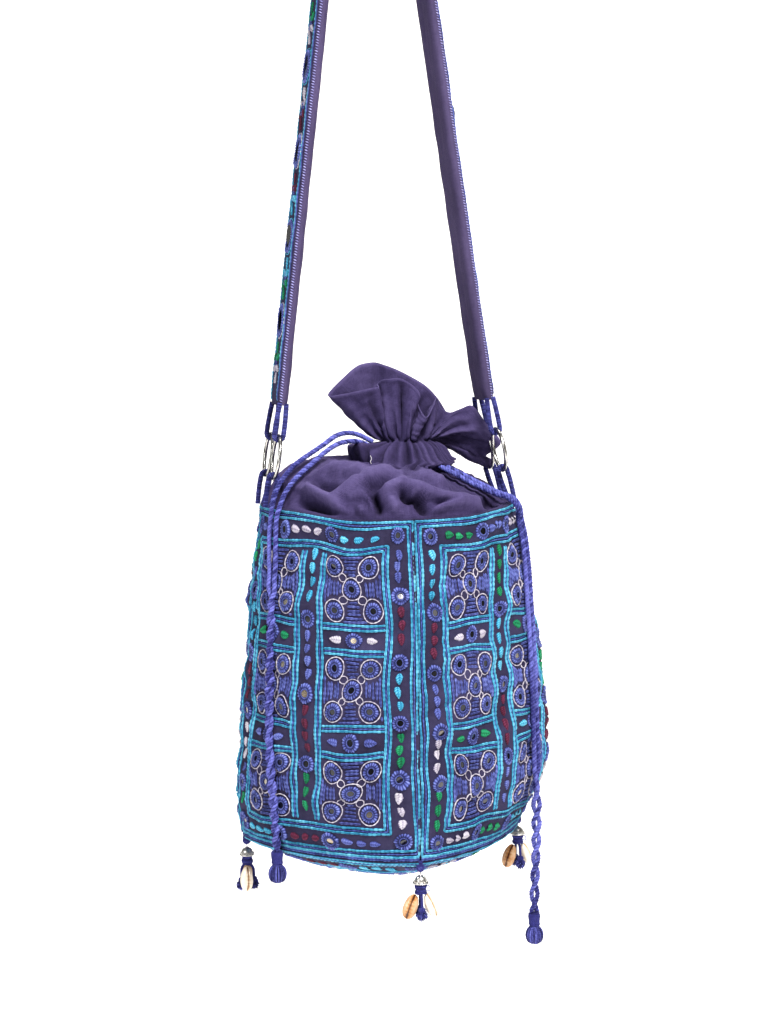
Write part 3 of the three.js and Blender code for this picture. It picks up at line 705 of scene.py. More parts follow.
M_VIOLET = thread("violet_thread", rgb(26, 28, 64), rgb(76, 84, 152), rgb(138, 150, 210))
M_CYAN = thread("cyan_thread", rgb(16, 70, 104), rgb(54, 152, 190), rgb(156, 224, 238))
M_WHITE = thread("white_thread", rgb(96, 88, 116), rgb(176, 170, 184), rgb(224, 220, 222), sheen=0.1)
M_GREEN = thread("green_thread", rgb(4, 54, 36), rgb(14, 112, 74), rgb(58, 172, 122))
M_MAROON = thread("maroon_thread", rgb(44, 8, 26), rgb(82, 28, 54), rgb(124, 56, 86))
M_DEEP = thread("deep_violet_thread", rgb(24, 30, 72), rgb(62, 74, 140), rgb(112, 132, 196))
M_CORD = thread("cord_cotton", rgb(10, 9, 34), rgb(48, 48, 112), rgb(116, 120, 196), twist=0.7)
M_CLOTH = woven("ground_cotton", rgb(24, 21, 40), rgb(60, 56, 84), rgb(100, 96, 130), pitch=0.6, streak=0.3)
M_COTTON = woven("violet_cotton", rgb(14, 10, 26), rgb(60, 52, 86), rgb(104, 94, 136), pitch=0.5, streak=0.75)
M_STRAP = woven("strap_cotton", rgb(44, 38, 62), rgb(76, 67, 97), rgb(106, 96, 132), pitch=0.5, streak=0.6)
M_LINING = woven("lining_cotton", rgb(36, 31, 56), rgb(64, 56, 90), rgb(102, 92, 132), pitch=0.5, streak=0.5)
M_PLY = thread("violet_binding_thread", rgb(60, 56, 104), rgb(122, 118, 176), rgb(188, 186, 226))


def mirror_mat():
    M = Mat("mirror_glass")
    x, y, z = M.attr()
    n = M.noise(500.0, 4.0, 0.6)
    # painted reflection: the colour ramp runs from near black to near white by each glass's tone
    col = M.ramp(x, [(0.0, rgb(26, 30, 38)), (0.3, rgb(74, 74, 78)), (0.5, rgb(120, 112, 104)), (0.75, rgb(172, 158, 140)), (1.0, rgb(226, 222, 210))])
    spots = M.noise(900.0, 2.0, 0.7)
    s = M.math("GREATER_THAN", spots, 0.62)
    col = M.mix(M.math("MULTIPLY", s, 0.45), col, rgb(60, 50, 46))
    ro = M.math("ADD", 0.10, M.math("MULTIPLY", n, 0.22))
    return M.set(color=col, metal=0.9, rough=ro, coat=0.5, coat_rough=0.06, normal=M.bump(n, 0.00005, 0.4))


def nickel_mat():
    M = Mat("nickel_ring")
    n = M.noise(160.0, 4.0, 0.6)
    n2 = M.noise(900.0, 3.0, 0.6)
    col = M.ramp(n, [(0.3, rgb(120, 118, 116)), (0.6, rgb(196, 194, 190)), (1.0, rgb(226, 224, 220))])
    ro = M.math("ADD", 0.14, M.math("MULTIPLY", n, 0.22))
    return M.set(color=col, metal=1.0, rough=ro, normal=M.bump(n2, 0.00004, 0.5))


def silver_mat():
    M = Mat("tassel_silver")
    n = M.noise(300.0, 4.0, 0.6)
    n2 = M.noise(1200.0, 3.0, 0.6)
    col = M.ramp(n, [(0.25, rgb(120, 116, 112)), (0.5, rgb(206, 203, 198)), (0.9, rgb(238, 236, 232))])
    ro = M.math("ADD", 0.22, M.math("MULTIPLY", n, 0.25))
    return M.set(color=col, metal=1.0, rough=ro, normal=M.bump(n2, 0.00005, 0.6))


def cowrie_mat(name, top, mid, low, slit=rgb(58, 34, 18)):
    M = Mat(name)
    x, y, z = M.attr()
    n = M.noise(180.0, 4.0, 0.6)
    n2 = M.noise(700.0, 3.0, 0.6)
    f = M.math("ADD", M.math("MULTIPLY", x, 0.8), M.math("MULTIPLY", n, 0.4))
    f = M.math("SUBTRACT", f, 0.1, clamp=True)
    # the darkest stop colours the painted shade down the slit
    col = M.ramp(f, [(0.05, slit), (0.28, low), (0.55, mid), (0.85, top)])
    ro = M.math("ADD", 0.16, M.math("MULTIPLY", n2, 0.16))
    return M.set(color=col, rough=ro, coat=0.4, coat_rough=0.12, spec=0.5, normal=M.bump(n2, 0.00004, 0.35))


M_MIRROR, M_NICKEL, M_SILVER = mirror_mat(), nickel_mat(), silver_mat()
M_SHELL = cowrie_mat("cowrie", rgb(238, 228, 214), rgb(224, 208, 186), rgb(176, 140, 104), rgb(84, 60, 44))
M_AMBER = cowrie_mat("cowrie_amber", rgb(226, 202, 174), rgb(176, 124, 74), rgb(104, 62, 32), rgb(44, 24, 14))

# ------------------------------------------------------------------ cords: the drawstrings' free strands
STRANDS = {
    "drawstring_left_a": [[-9.3, -6.5, -466.9], [-20, -9, -461.5], [-28.5, -12, -459.8], [-37, -15, -461.2], [-46, -19, -466.4], [-54, -23, -470.8], [-62.4, -27, -475.3],
        [-70, -31, -480], [-76.6, -34, -486], [-82, -36, -492.5], [-85.5, -35, -501], [-87.2, -31, -511], [-88.7, -30.5, -523.7], [-90.4, -35.2, -545.1],
        [-92.6, -39.5, -572.3], [-94.3, -41.5, -599.9], [-97.1, -45.7, -641.9], [-98.3, -49.6, -682.6], [-97.6, -52.4, -706.8], [-95.8, -51, -730.9], [-94.9, -50.2, -745.8]],
    "drawstring_left_b": [[-9, -9, -471], [-20, -13, -466.4], [-28, -16, -465.6], [-37, -19.5, -467], [-46, -23.5, -471.5], [-53.5, -27.5, -476.6], [-61, -31.5, -481.8],
        [-68, -35, -487], [-74, -37.6, -492.6], [-79, -38.4, -499.5], [-82.2, -37.9, -507.4], [-85.1, -39.2, -515.6], [-86, -39.3, -527.2], [-87.2, -42.1, -545.7],
        [-89.1, -45.7, -572], [-90.7, -48, -599.5], [-93.4, -52.3, -641.4], [-94.6, -55.9, -682.1], [-94.1, -58.6, -706.2], [-92.5, -56.7, -730.4], [-91.8, -55, -745.3]],
    "drawstring_right_a": [[34.3, -14, -480.1], [39, -16.5, -483.2], [44, -20, -487], [51, -25, -490.8], [58, -29.5, -495.2], [66, -33.5, -499.6], [75, -35, -504.2],
        [86, -33.7, -508.7], [92.3, -29.3, -515.6], [94.8, -25, -525], [96.7, -26.5, -535.7], [96.7, -34.2, -554.7], [94.9, -45.8, -581.9], [94.3, -52.6, -609.4],
        [93.6, -58.8, -651.3], [94, -59, -694.2], [93.6, -59.6, -726.4], [92.5, -61, -755.7], [90.2, -63.5, -782.1], [88.9, -65.7, -800.6]],
    "drawstring_right_b": [[30.7, -19, -481.5], [35.5, -20.6, -484.6], [40.4, -24.4, -487.6], [47.2, -29.3, -491.6], [54.2, -34, -496.2], [62.6, -38.2, -500.6], [71.4, -40.6, -505],
        [80.9, -43.2, -508.2], [86.6, -44.6, -515.4], [88.1, -39.2, -523.8], [89.2, -42.3, -532.5], [88.5, -51.1, -544.9], [89.4, -55.3, -584.1], [89.3, -60.2, -610.8],
        [89.4, -63.9, -652.1], [89.8, -64.1, -694], [89.4, -64.9, -726.2], [88.1, -66.4, -755.4], [86.2, -68.2, -781.8], [84.9, -69.7, -800.3]],
}


def twisted(g, P, mat, R=1.9, plies=3, pitch=7.2, sides=8, seed=0, phase=0.0):
    """Plies of thread twisted into one cord of radius R along P."""
    r = np.random.default_rng(seed)
    T, N, B = frames(P)
    s = np.r_[0, np.cumsum(np.linalg.norm(np.diff(P, axis=0), axis=1))]
    rp = R * 0.56
    ro = R - rp
    for k in range(plies):
        a = 2 * math.pi * (s / pitch + k / plies) + phase + 0.18 * np.sin(s / 9.0 + k)
        Q = P + (N * np.cos(a)[:, None] + B * np.sin(a)[:, None]) * ro
        tone = 0.5 + 0.22 * np.sin(s / 23.0 + k * 2 + r.uniform(0, 6)) + r.normal(0, 0.05, len(s))
        ang = np.linspace(0, 2 * math.pi, sides, endpoint=False)
        # painted shade: each ply is darker on its side towards the cord's middle, where the plies lie against each
        # other
        Tq, Nq, Bq = frames(Q)
        ring = Nq[:, None] * np.cos(ang)[None, :, None] + Bq[:, None] * np.sin(ang)[None, :, None]
        outw = unit(Q - P)[:, None]
        t2 = np.clip(tone[:, None] - 0.12 + 0.52 * (ring * outw).sum(-1), 0, 1)
        tube(g, Q, rp * (1 + 0.05 * np.sin(s / 5.0 + k)), mat, sides, t2)


def twist_pair(A, B, z_from, pitch, sep, z_full, phase_back):
    """Two strands wound loosely round each other below a height."""
    M = (A + B) / 2
    T, N, Bn = frames(M)
    D = A - B
    s = np.r_[0, np.cumsum(np.linalg.norm(np.diff(M, axis=0), axis=1))]
    k0 = int(np.argmax(M[:, 2] < z_from))
    phi0 = math.atan2(D[k0] @ Bn[k0], D[k0] @ N[k0])
    w = smoothstep(z_from, z_full, M[:, 2]) if z_full > z_from else 1 - smoothstep(z_full, z_from, M[:, 2])
    below = M[:, 2] < z_from
    w = np.where(below, w, 0.0)
    end = smoothstep(0, 14, s[-1] - s)
    phi = phi0 + 2 * math.pi * np.where(below, s - s[k0], 0) / pitch + 0.5 * np.sin(s / 17.0)
    sp = sep * (1 + 0.10 * np.sin(s / 11.0))
    off = (N * np.cos(phi)[:, None] + Bn * np.sin(phi)[:, None]) * (sp / 2)[:, None]
    half = D / 2
    o = half * (1 - w[:, None]) + off * w[:, None]
    return M + o, M - o


CORD_PATHS = {}
PATHS0 = {nm: catmull(np.array(pts, float), 260) for nm, pts in STRANDS.items()}
for sd, zf, zz, pitch, sep in (("left", -545.0, -585.0, 21.0, 3.3), ("right", -690.0, -725.0, 27.0, 4.1)):
    a_, b_ = twist_pair(PATHS0[f"drawstring_{sd}_a"], PATHS0[f"drawstring_{sd}_b"], zf, pitch, sep, zz, 0)
    PATHS0[f"drawstring_{sd}_a"], PATHS0[f"drawstring_{sd}_b"] = a_, b_
for nm, pts in STRANDS.items():
    P = PATHS0[nm]
    CORD_PATHS[nm] = P
    g = Geo()
    # the two right-hand strands are loosely laid, the left-hand ones close
    twisted(g, P, 0, R=1.95, plies=3, pitch=7.0, sides=7, seed=len(pts) + (1 if nm.endswith("a") else 2))
    o = g.make(nm + "_twist", [M_CORD], "bag")
    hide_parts(nm)


# ------------------------------------------------------------------ the four embroidered panels
# names of motif threads in a strip, and how a strip is filled: (kind, place along the strip)
C_, V_, W_, G_, R_, D_ = 0, 1, 2, 3, 4, 5
EMB_MATS = [M_CYAN, M_VIOLET, M_WHITE, M_GREEN, M_MAROON, M_DEEP, M_MIRROR]
MIR = 6


def line_h(g, place, h, x0, x1, mat, **kw):
    sew(g, place, [[x0, h], [x1, h]], mat, **kw)


def line_v(g, place, x, h0, h1, mat, **kw):
    sew(g, place, [[x, h0], [x, h1]], mat, **kw)


def frame_lines(g, place, x0, x1, h0, h1, inset, mats=(C_, D_, C_)):
    """Concentric rectangles of chain stitch, the outermost first."""
    for k, mt in enumerate(mats):
        d = inset + 1.78 * k
        sew(g, place, [[x0 + d, h0 + d], [x1 - d, h0 + d], [x1 - d, h1 - d], [x0 + d, h1 - d]], mt, closed=True,
            half=0.93 if mt == C_ else 0.72, height=1.1 if mt == C_ else 0.85)


def strip(g, place, items, fixed, axis, seed):
    """Rings and leaves along a border strip. items: (kind, position); fixed is the strip's middle."""
    r = np.random.default_rng(seed)
    for k, (kind, pos) in enumerate(items):
        a = fixed + r.uniform(-0.7, 0.7)
        x, y = (pos, a) if axis == "h" else (a, pos)
        if kind == "o":
            mirror_ring(g, place, x, y, V_, MIR, r_out=5.9 + r.uniform(-0.25, 0.25), r_in=2.1, seed=seed * 41 + k)
        else:
            col = {"c": C_, "v": V_, "w": W_, "g": G_, "r": R_}[kind]
            ang = (0.0 if axis == "h" else math.pi / 2) + r.uniform(-0.16, 0.16)
            leaf(g, place, x, y, ang, col, L=7.1, Wd=5.5, seed=seed * 43 + k)


def run(spec):
    """'o13 g30,39,49' -> [('o',13),('g',30),...]"""
    out = []
    for tok in spec.split():
        for v in tok[1:].split(","):
            out.append((tok[0], float(v)))
    return out


# Where each strip's rings and leaves were sewn. Hand work: no two panels are alike.
STRIPS = {
    3: dict(top="o13 v25,33,41 o53 w65,75,85 o98 c110,122,134 o152",
            right="v25,32,39 o51 r62,71,80 o95 c106,115,124 o136 g147,156,164 o175 w186,195,204",
            left="g25,34 v45 o57 c67,76,85 o97 r108,117,126 o138 w150,160,168 v178 o190 g201",
            mid="c27,36,45,54 o68 v79,88,97,106 o118 r128,137,146,155 o167 g177,186,195",
            bottom="o13 c27,36,45 o57 r70,80,90 o102 v114,124,134 o152"),
    0: dict(top="o13 g29,38,48 o60 v71,80,89 o101 w112,121,130 o152",
            left="c25,34,43,52 o63 r73,82,91 o104 v115,123,131 o143 w152,160,169 o180 g188,197,206",
            right="v26,35,44 o56 c66,75,84 o97 g108,117,126 o138 r150,159,168 o180 w190,199,207",
            mid="g27,36,45,54 o67 c77,86,95,104 o117 r128,137,146,155 o167 v178,187,196",
            bottom="o13 w26,35,44 o57 g68,78,88 o101 c112,122,132 o152"),
    1: dict(top="o13 r27,36,45 o57 c69,78,87 o100 g112,121,130 o152",
            left="w25,34,43 o55 v66,75,84 o97 c108,117,126 o138 r149,158,167 o180 g190,199,207",
            right="g26,35,44 o56 r66,75,84 o97 w108,117,126 o138 c150,159,168 o180 v190,199,207",
            mid="v27,36,45,54 o67 w77,86,95,104 o117 c128,137,146,155 o167 r178,187,196",
            bottom="o13 v27,36,45 o57 c69,79,89 o101 r113,122,131 o152"),
    2: dict(top="o13 w27,36,45 o57 r69,78,87 o100 v112,121,130 o152",
            left="c25,34,43 o55 g66,75,84 o97 w108,117,126 o138 v149,158,167 o180 r190,199,207",
            right="r26,35,44 o56 v66,75,84 o97 g108,117,126 o138 w150,159,168 o180 c190,199,207",
            mid="r27,36,45,54 o67 g77,86,95,104 o117 w128,137,146,155 o167 c178,187,196",
            bottom="o13 g27,36,45 o57 w69,79,89 o101 v113,122,131 o152"),
}
BANDS = {3: ("w", "v", "g"), 0: ("w", "g", "c"), 1: ("c", "w", "r"), 2: ("v", "c", "w")}
PANELS = ["panel_front_right", "panel_back_right", "panel_back_left", "panel_front_left"]


def two_faced(g, A, B, tone, st, flip):
    """A cloth with a face, a back and four edges, as one closed surface."""
    R, C = A.shape[:2]
    i, j = np.meshgrid(np.arange(R - 1), np.arange(C - 1), indexing="ij")
    F = np.stack([i * C + j, i * C + j + 1, (i + 1) * C + j + 1, (i + 1) * C + j], -1).reshape(-1, 4)
    K = R * C
    faces = [F, F[:, ::-1] + K]
    loop = list(range(C)) + [r * C + C - 1 for r in range(1, R)] + [(R - 1) * C + c for c in range(C - 2, -1, -1)] + [r * C for r in range(R - 2, 0, -1)]
    a = np.array(loop)
    b = np.roll(a, -1)
    faces.append(np.stack([b, a, a + K, b + K], -1))
    F = np.concatenate(faces)
    if flip:
        F = F[:, ::-1]
    g.add(np.concatenate([A.reshape(-1, 3), B.reshape(-1, 3)]), F, 0, np.concatenate([tone.reshape(-1), tone.reshape(-1)]), np.concatenate([st.reshape(-1, 2)] * 2))


def cloth_panel(p):
    """The ground cloth: a thin sheet whose face is hidden by the stitches in most places."""
    g = Geo()
    nx, nh = 53, 73
    X, Hh = np.meshgrid(np.linspace(0, 165, nx), np.linspace(-0.4, 228.2, nh))
    Po, No = wall(p * PP + X / 165 * PP, Hh, 0.0)
    tone = 0.45 + 0.10 * field(W_BIG, X + p * 77, Hh) + 0.05 * field(W_MID, X, Hh + 31 * p)
    st = np.stack([X + p * 165, Hh], -1)
    two_faced(g, Po, Po - No * 1.7, tone, st, flip=True)
    return g


def embroider_panel(p):
    g = Geo()
    place = lambda x, h: design(p, x, h)
    S = STRIPS[p]
    # border against the seams, rim and base; the outer line is sewn over the seam
    frame_lines(g, place, 0, 165, 0, 228, 1.25)
    strip(g, place, run(S["top"]), 11.6, "h", 100 + p)
    strip(g, place, run(S["bottom"]), 217.4, "h", 110 + p)
    strip(g, place, [q for q in run(S["left"]) if 20 < q[1] < 210], 12.9, "v", 120 + p)
    strip(g, place, [q for q in run(S["right"]) if 20 < q[1] < 210], 152.1, "v", 130 + p)
    sew(g, place, [[0.6, 227.0], [164.4, 227.0]], C_, half=1.0, height=1.1)
    P_, N_ = wall(p * PP + np.linspace(0.002, 0.998, 190) * PP, 228.6, 0.0)
    ribbon(g, P_ + N_ * 0.1, N_, D_, half=1.15, height=1.3, seed=9 + p)
    # the big inner frame and the lines beside the middle strip
    frame_lines(g, place, 20.3, 144.7, 18.6, 210.4, 0.0)
    strip(g, place, [q for q in run(S["mid"]) if 24 < q[1] < 204], 82.5, "v", 140 + p)
    for x0, s in ((72.6, -1), (92.4, 1)):
        for k, mt in enumerate((C_, D_, C_)):
            line_v(g, place, x0 + s * (k - 1) * 1.78, 24.6, 204.4, mt, half=0.93 if mt == C_ else 0.72, height=1.05 if mt == C_ else 0.8)
    cols = ((25.2, 69.4), (95.6, 139.8))
    band = BANDS[p]
    for ci, (x0, x1) in enumerate(cols):
        boxes = ((23.6, 68.6), (92.0, 137.0), (160.4, 205.2))
        for bi, (h0, h1) in enumerate(boxes):
            fill_box(g, place, x0, x1, h0, h1, V_, W_, MIR, seed=p * 100 + ci * 10 + bi + 1)
        for bi, (ha, hb) in enumerate(((68.6, 92.0), (137.0, 160.4))):
            for e, s in ((ha + 1.0, 1), (hb - 1.0, -1)):
                for k, mt in enumerate((C_, D_, C_)):
                    line_h(g, place, e + s * k * 1.70, x0 - 0.4, x1 + 0.4, mt, half=0.90 if mt == C_ else 0.70, height=1.05 if mt == C_ else 0.8)
            mid = (ha + hb) / 2
            mirror_ring(g, place, (x0 + x1) / 2, mid, V_, MIR, r_out=5.7, r_in=2.1, seed=p * 1000 + ci * 100 + bi)
            kind = band[(ci + bi) % 3] if not (p == 3) else ("g" if ci == 0 and bi == 0 else "w" if bi == 0 else "v")
            col = {"c": C_, "v": V_, "w": W_, "g": G_, "r": R_}[kind]
            for q, s in enumerate((-1, 1)):
                leaf(g, place, (x0 + x1) / 2 + s * 13.2, mid, math.pi if s < 0 else 0.0, col, L=8.4, Wd=5.6, seed=p * 77 + ci * 7 + bi * 3 + q)
    return g


emb_tris = 0
for p, nm in enumerate(PANELS):
    gc = cloth_panel(p)
    o = gc.make(nm + "_cloth", [M_CLOTH], "bag")
    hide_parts(nm)
    ge = embroider_panel(p)
    e = ge.make(nm + "_embroidery", EMB_MATS, "bag")
    emb_tris = max(emb_tris, ge.tris())
print("embroidery, most triangles on a panel:", emb_tris)


# ------------------------------------------------------------------ base panel
BASE_CX = -5.0


def base_place(u, v, off=0.0):
    """The base's own square, u and v from -1 to 1 with its corners at the four seams."""
    u, v = np.broadcast_arrays(np.asarray(u, float), np.asarray(v, float))
    e = 0.004

    def pos(u, v):
        r = np.maximum(np.abs(u), np.abs(v))
        # outline place: going round the square from the front corner (-1,-1)
        rr = np.maximum(r, 1e-6)
        a, b = u / rr, v / rr
        t = np.where(b <= -0.999999, (a + 1) / 2, np.where(a >= 0.999999, 1 + (b + 1) / 2, np.where(b >= 0.999999, 2 + (1 - a) / 2, 3 + (1 - b) / 2)))
        q = outline(np.mod(t, 4.0) * PP, 228.0)
        x, y = q[..., 0], q[..., 1]
        inx = x - q[..., 2] * 0.4 * 0
        X = BASE_CX + (inx - BASE_CX) * r
        Y = y * r
        sag = 27 * (1 - r ** 2.2)
        Z = RIM - 228 - 2.6 - sag
        d = 1.0 * np.sin(X / 13.0 + 0.6 * np.sin(Y / 17.0)) * np.sin(Y / 15.0) * (1 - r ** 4) + 0.35 * np.sin(X / 4.1 + Y / 5.3)
        return np.stack([X, Y, Z + d * 0.7], -1)

    P = pos(u, v)
    # normals from the plan, pointing out and down
    ex = np.where(np.abs(u) > 0.996, np.sign(u) * -e, e)
    ey = np.where(np.abs(v) > 0.996, np.sign(v) * -e, e)
    A = (pos(u + ex, v) - P) * np.sign(ex)[..., None]
    B = (pos(u, v + ey) - P) * np.sign(ey)[..., None]
    N = unit(np.cross(B, A))
    N = np.where((N[..., 2] > 0)[..., None], -N, N)
    return P + N * np.asarray(off, float)[..., None], N


BASE_HALF = 82.5


def base_design(x, y, off=0.0):
    return base_place(np.clip(x / BASE_HALF, -0.999, 0.999), np.clip(y / BASE_HALF, -0.999, 0.999), off)


def base_cloth():
    g = Geo()
    n = 69
    a = np.linspace(-1, 1, n)
    U, Vv = np.meshgrid(a, a)
    P, N = base_place(U, Vv)
    st = np.stack([U * BASE_HALF, Vv * BASE_HALF], -1)
    tone = 0.42 + 0.1 * field(W_BIG, U * 90, Vv * 90)
    two_faced(g, P, P - N * 1.7, tone, st, flip=False)
    return g


def embroider_base():
    g = Geo()
    place = lambda x, y: base_design(x, y)
    for k, (d, mt) in enumerate(((81.6, C_), (79.8, D_), (78.0, C_), (61.4, C_), (59.6, D_), (57.8, C_))):
        sew(g, place, [[-d, -d], [d, -d], [d, d], [-d, d]], mt, closed=True, half=0.93 if mt == C_ else 0.72, height=1.05)
    side = "o-69 w-56,-46,-36 o-24 g-12,-2,8 o20 c32,42,52"
    seq = [side, side.replace("w", "r").replace("g", "v"), side.replace("w", "c").replace("c3", "w3"), side.replace("w", "v").replace("g", "r")]
    for k, (sq, ax, fx) in enumerate(zip(seq, "hvhv", (-69.2, 69.2, 69.2, -69.2))):
        items = run(sq)
        if k in (2, 3):
            items = [(a, -b) for a, b in items]
        strip(g, place, items, fx, ax, 300 + k)
    for a, b in ((-56.2, -1.8), (1.8, 56.2)):
        for c, d in ((-56.2, -1.8), (1.8, 56.2)):
            fill_box(g, place, a + 0.4, b - 0.4, c + 0.4, d - 0.4, V_, W_, MIR, seed=int(500 + a + 3 * c), spread=(17.5, None))
    for mt, o in ((C_, 0.0),):
        line_h(g, place, o, -56.8, 56.8, mt, half=0.9)
        line_v(g, place, o, -56.8, 56.8, mt, half=0.9)
    return g


gb = base_cloth()
base_o = gb.make("base_panel_cloth", [M_CLOTH], "bag")
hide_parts("base_panel")
gbe = embroider_base()
base_e = gbe.make("base_panel_embroidery", EMB_MATS, "bag")
print("base embroidery triangles:", gbe.tris())


# ------------------------------------------------------------------ lining: a plain cotton bag inside the panels
def rows_between(K, per):
    """Smooth rows through a stack of rings, K rings x cols x 3."""
    K = np.asarray(K)
    n = len(K)
    out = []
    for a in range(n - 1):
        p0, p1, p2, p3 = K[max(a - 1, 0)], K[a], K[a + 1], K[min(a + 2, n - 1)]
        m = per[a] if not np.isscalar(per) else per
        for t in np.linspace(0, 1, m, endpoint=False):
            t2, t3 = t * t, t * t * t
            out.append(0.5 * ((2 * p1) + (p2 - p0) * t + (2 * p0 - 5 * p1 + 4 * p2 - p3) * t2 + (3 * p1 - p0 - 3 * p2 + p3) * t3))
    out.append(K[-1])
    return np.array(out)


def grid_normals(P, wrap=True):
    du = np.roll(P, -1, 1) - np.roll(P, 1, 1) if wrap else np.gradient(P, axis=1)
    dv = np.gradient(P, axis=0)
    return unit(np.cross(du, dv))


def ring_at(h, off, scale=1.0, dz=0.0, n=144, cx=0.0):
    q = outline(np.arange(n) * 192.0 / n, h)
    x = q[:, 0] - q[:, 2] * off
    y = q[:, 1] - q[:, 3] * off
    z = RIM - h + lift(x, h) + dz
    return np.stack([cx + (x - cx) * scale, y * scale, z], -1)


def closed_sheet(g, P, thick, mat, tone, st, wrap=True, hem=None):
    """A cloth of some thickness: an outer and an inner face, welded along both edges."""
    N = grid_normals(P, wrap)
    if hem is None:
        hem = np.zeros(len(P))
    Q = P - N * (thick + hem)[:, None, None] if not np.isscalar(hem) else P - N * thick
    full = np.concatenate([P, Q[::-1], P[:1]])
    tone = np.broadcast_to(tone, P.shape[:2])
    tt = np.concatenate([tone, tone[::-1], tone[:1]])
    ss = np.concatenate([st, st[::-1], st[:1]])
    R, C = full.shape[:2]
    # weld the last row to the first
    i, j = np.meshgrid(np.arange(R - 1), np.arange(C if wrap else C - 1), indexing="ij")
    nx = lambda k: np.where(k == R - 1, 0, k)
    a = nx(i) * C + j
    b = nx(i) * C + (j + 1) % C
    c = nx(i + 1) * C + (j + 1) % C
    d = nx(i + 1) * C + j
    F = np.stack([a, b, c, d], -1).reshape(-1, 4)
    g.add(full[:-1].reshape(-1, 3), F, mat, tt[:-1].reshape(-1), ss[:-1].reshape(-1, 2))


def lining():
    g = Geo()
    K = []
    sag = lambda r: 27 * (1 - (r * 0.975) ** 2.2)
    for r in (0.02, 0.22, 0.5, 0.78, 0.93):
        K.append(ring_at(228, 3.8, r, 0.6 - sag(r), cx=BASE_CX, n=112))
    for h in (226, 216, 204, 180, 140, 100, 60, 25, 4, 1.5):
        K.append(ring_at(h, 3.7, n=112))
    P = rows_between(K, 4)
    n = P.shape[1]
    a = np.linspace(0, 660, n)
    s = np.r_[0, np.cumsum(np.linalg.norm(np.diff(P[:, 0], axis=0), axis=1))]
    st = np.stack(np.broadcast_arrays(a[None], s[:, None]), -1)
    tone = 0.5 + 0.08 * field(W_BIG, st[..., 0], st[..., 1])
    closed_sheet(g, P, 0.9, 0, tone, st)
    return g


lining_o = lining().make("inner_lining_cloth", [M_LINING], "bag")
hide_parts("inner_lining")


# ------------------------------------------------------------------ the drawn collar
NECK_X = 17.0
HEM_PX = [(327.8, 395.6, 0), (345, 394, -9), (362, 390.5, -14), (372, 388, -13), (379, 386.4, -6), (377, 384, 1), (380.6, 380.3, -3), (390, 379, -12),
          (400.5, 378.7, -15), (412.8, 385.6, -14), (420.4, 395.6, -16), (418, 404, -12), (426.5, 417.8, -24), (433, 408, -18), (437.3, 397.9, -8),
          (441, 407, 0), (449.5, 412.4, 4), (460, 409, -1), (471.7, 405.5, -2), (486, 423, -1), (500.8, 442.2, 1), (496, 449, 5), (486, 456, 9),
          (492.4, 460.6, 12), (492, 469, 16), (478, 462, 22), (462, 440, 24), (448, 416, 20), (437, 398, 16), (425, 385.6, 15), (411, 377, 17),
          (397.5, 370.3, 16), (387, 366, 13), (376.8, 362.7, 16), (367, 363, 13), (357.7, 365.7, 12), (345, 376, 8)]
# Ridges and hollows of the dome's cloth, as seen from the front: points, height in mm,
# width on each side in picture lengths
FOLDS = [
    ([(110, 800), (230, 835), (350, 905), (470, 985)], 5.0, 5.5, 3.0),
    ([(190, 925), (300, 955), (400, 1000)], -5.5, 4.0, 4.0),
    ([(120, 790), (220, 740), (330, 715), (440, 732), (640, 742)], 3.6, 5.0, 3.4),
    ([(390, 965), (450, 885), (560, 812), (680, 768), (820, 762)], 4.6, 5.0, 3.6),
    ([(480, 905), (560, 880), (600, 870)], 2.2, 6.0, 5.0),
    ([(640, 855), (655, 905), (690, 985)], -6.5, 3.2, 4.2),
    ([(612, 880), (640, 940), (650, 985)], 3.4, 2.2, 2.2),
    ([(740, 900), (800, 985)], 3.6, 6.0, 5.0),
    ([(700, 860), (760, 830), (820, 815), (860, 800)], 3.4, 4.0, 4.0),
    ([(825, 850), (850, 905), (905, 905)], -6.5, 3.4, 2.6),
    ([(840, 822), (900, 842), (1000, 880), (1120, 915), (1270, 930)], 5.0, 5.0, 3.0),
    ([(870, 905), (905, 872), (940, 862), (985, 905)], 3.2, 2.4, 2.4),
    ([(925, 905), (955, 950), (985, 1000)], -7.0, 3.4, 4.0),
    ([(1010, 985), (1130, 948), (1250, 950), (1340, 985)], 4.6, 4.2, 3.4),
    ([(1040, 945), (1160, 925)], -2.8, 3.0, 2.0),
    ([(1270, 870), (1310, 905), (1400, 940)], -5.0, 3.5, 5.0),
    ([(1180, 790), (1270, 850), (1330, 920)], 3.6, 4.0, 3.0),
    ([(560, 960), (600, 1000)], 3.0, 4.0, 4.0),
    ([(900, 760), (1000, 790), (1100, 840)], 3.0, 5.0, 4.0),
    ([(560, 790), (660, 820), (760, 800)], -2.6, 4.0, 3.0),
    ([(250, 800), (340, 830), (430, 850)], -3.0, 6.0, 3.4),
]


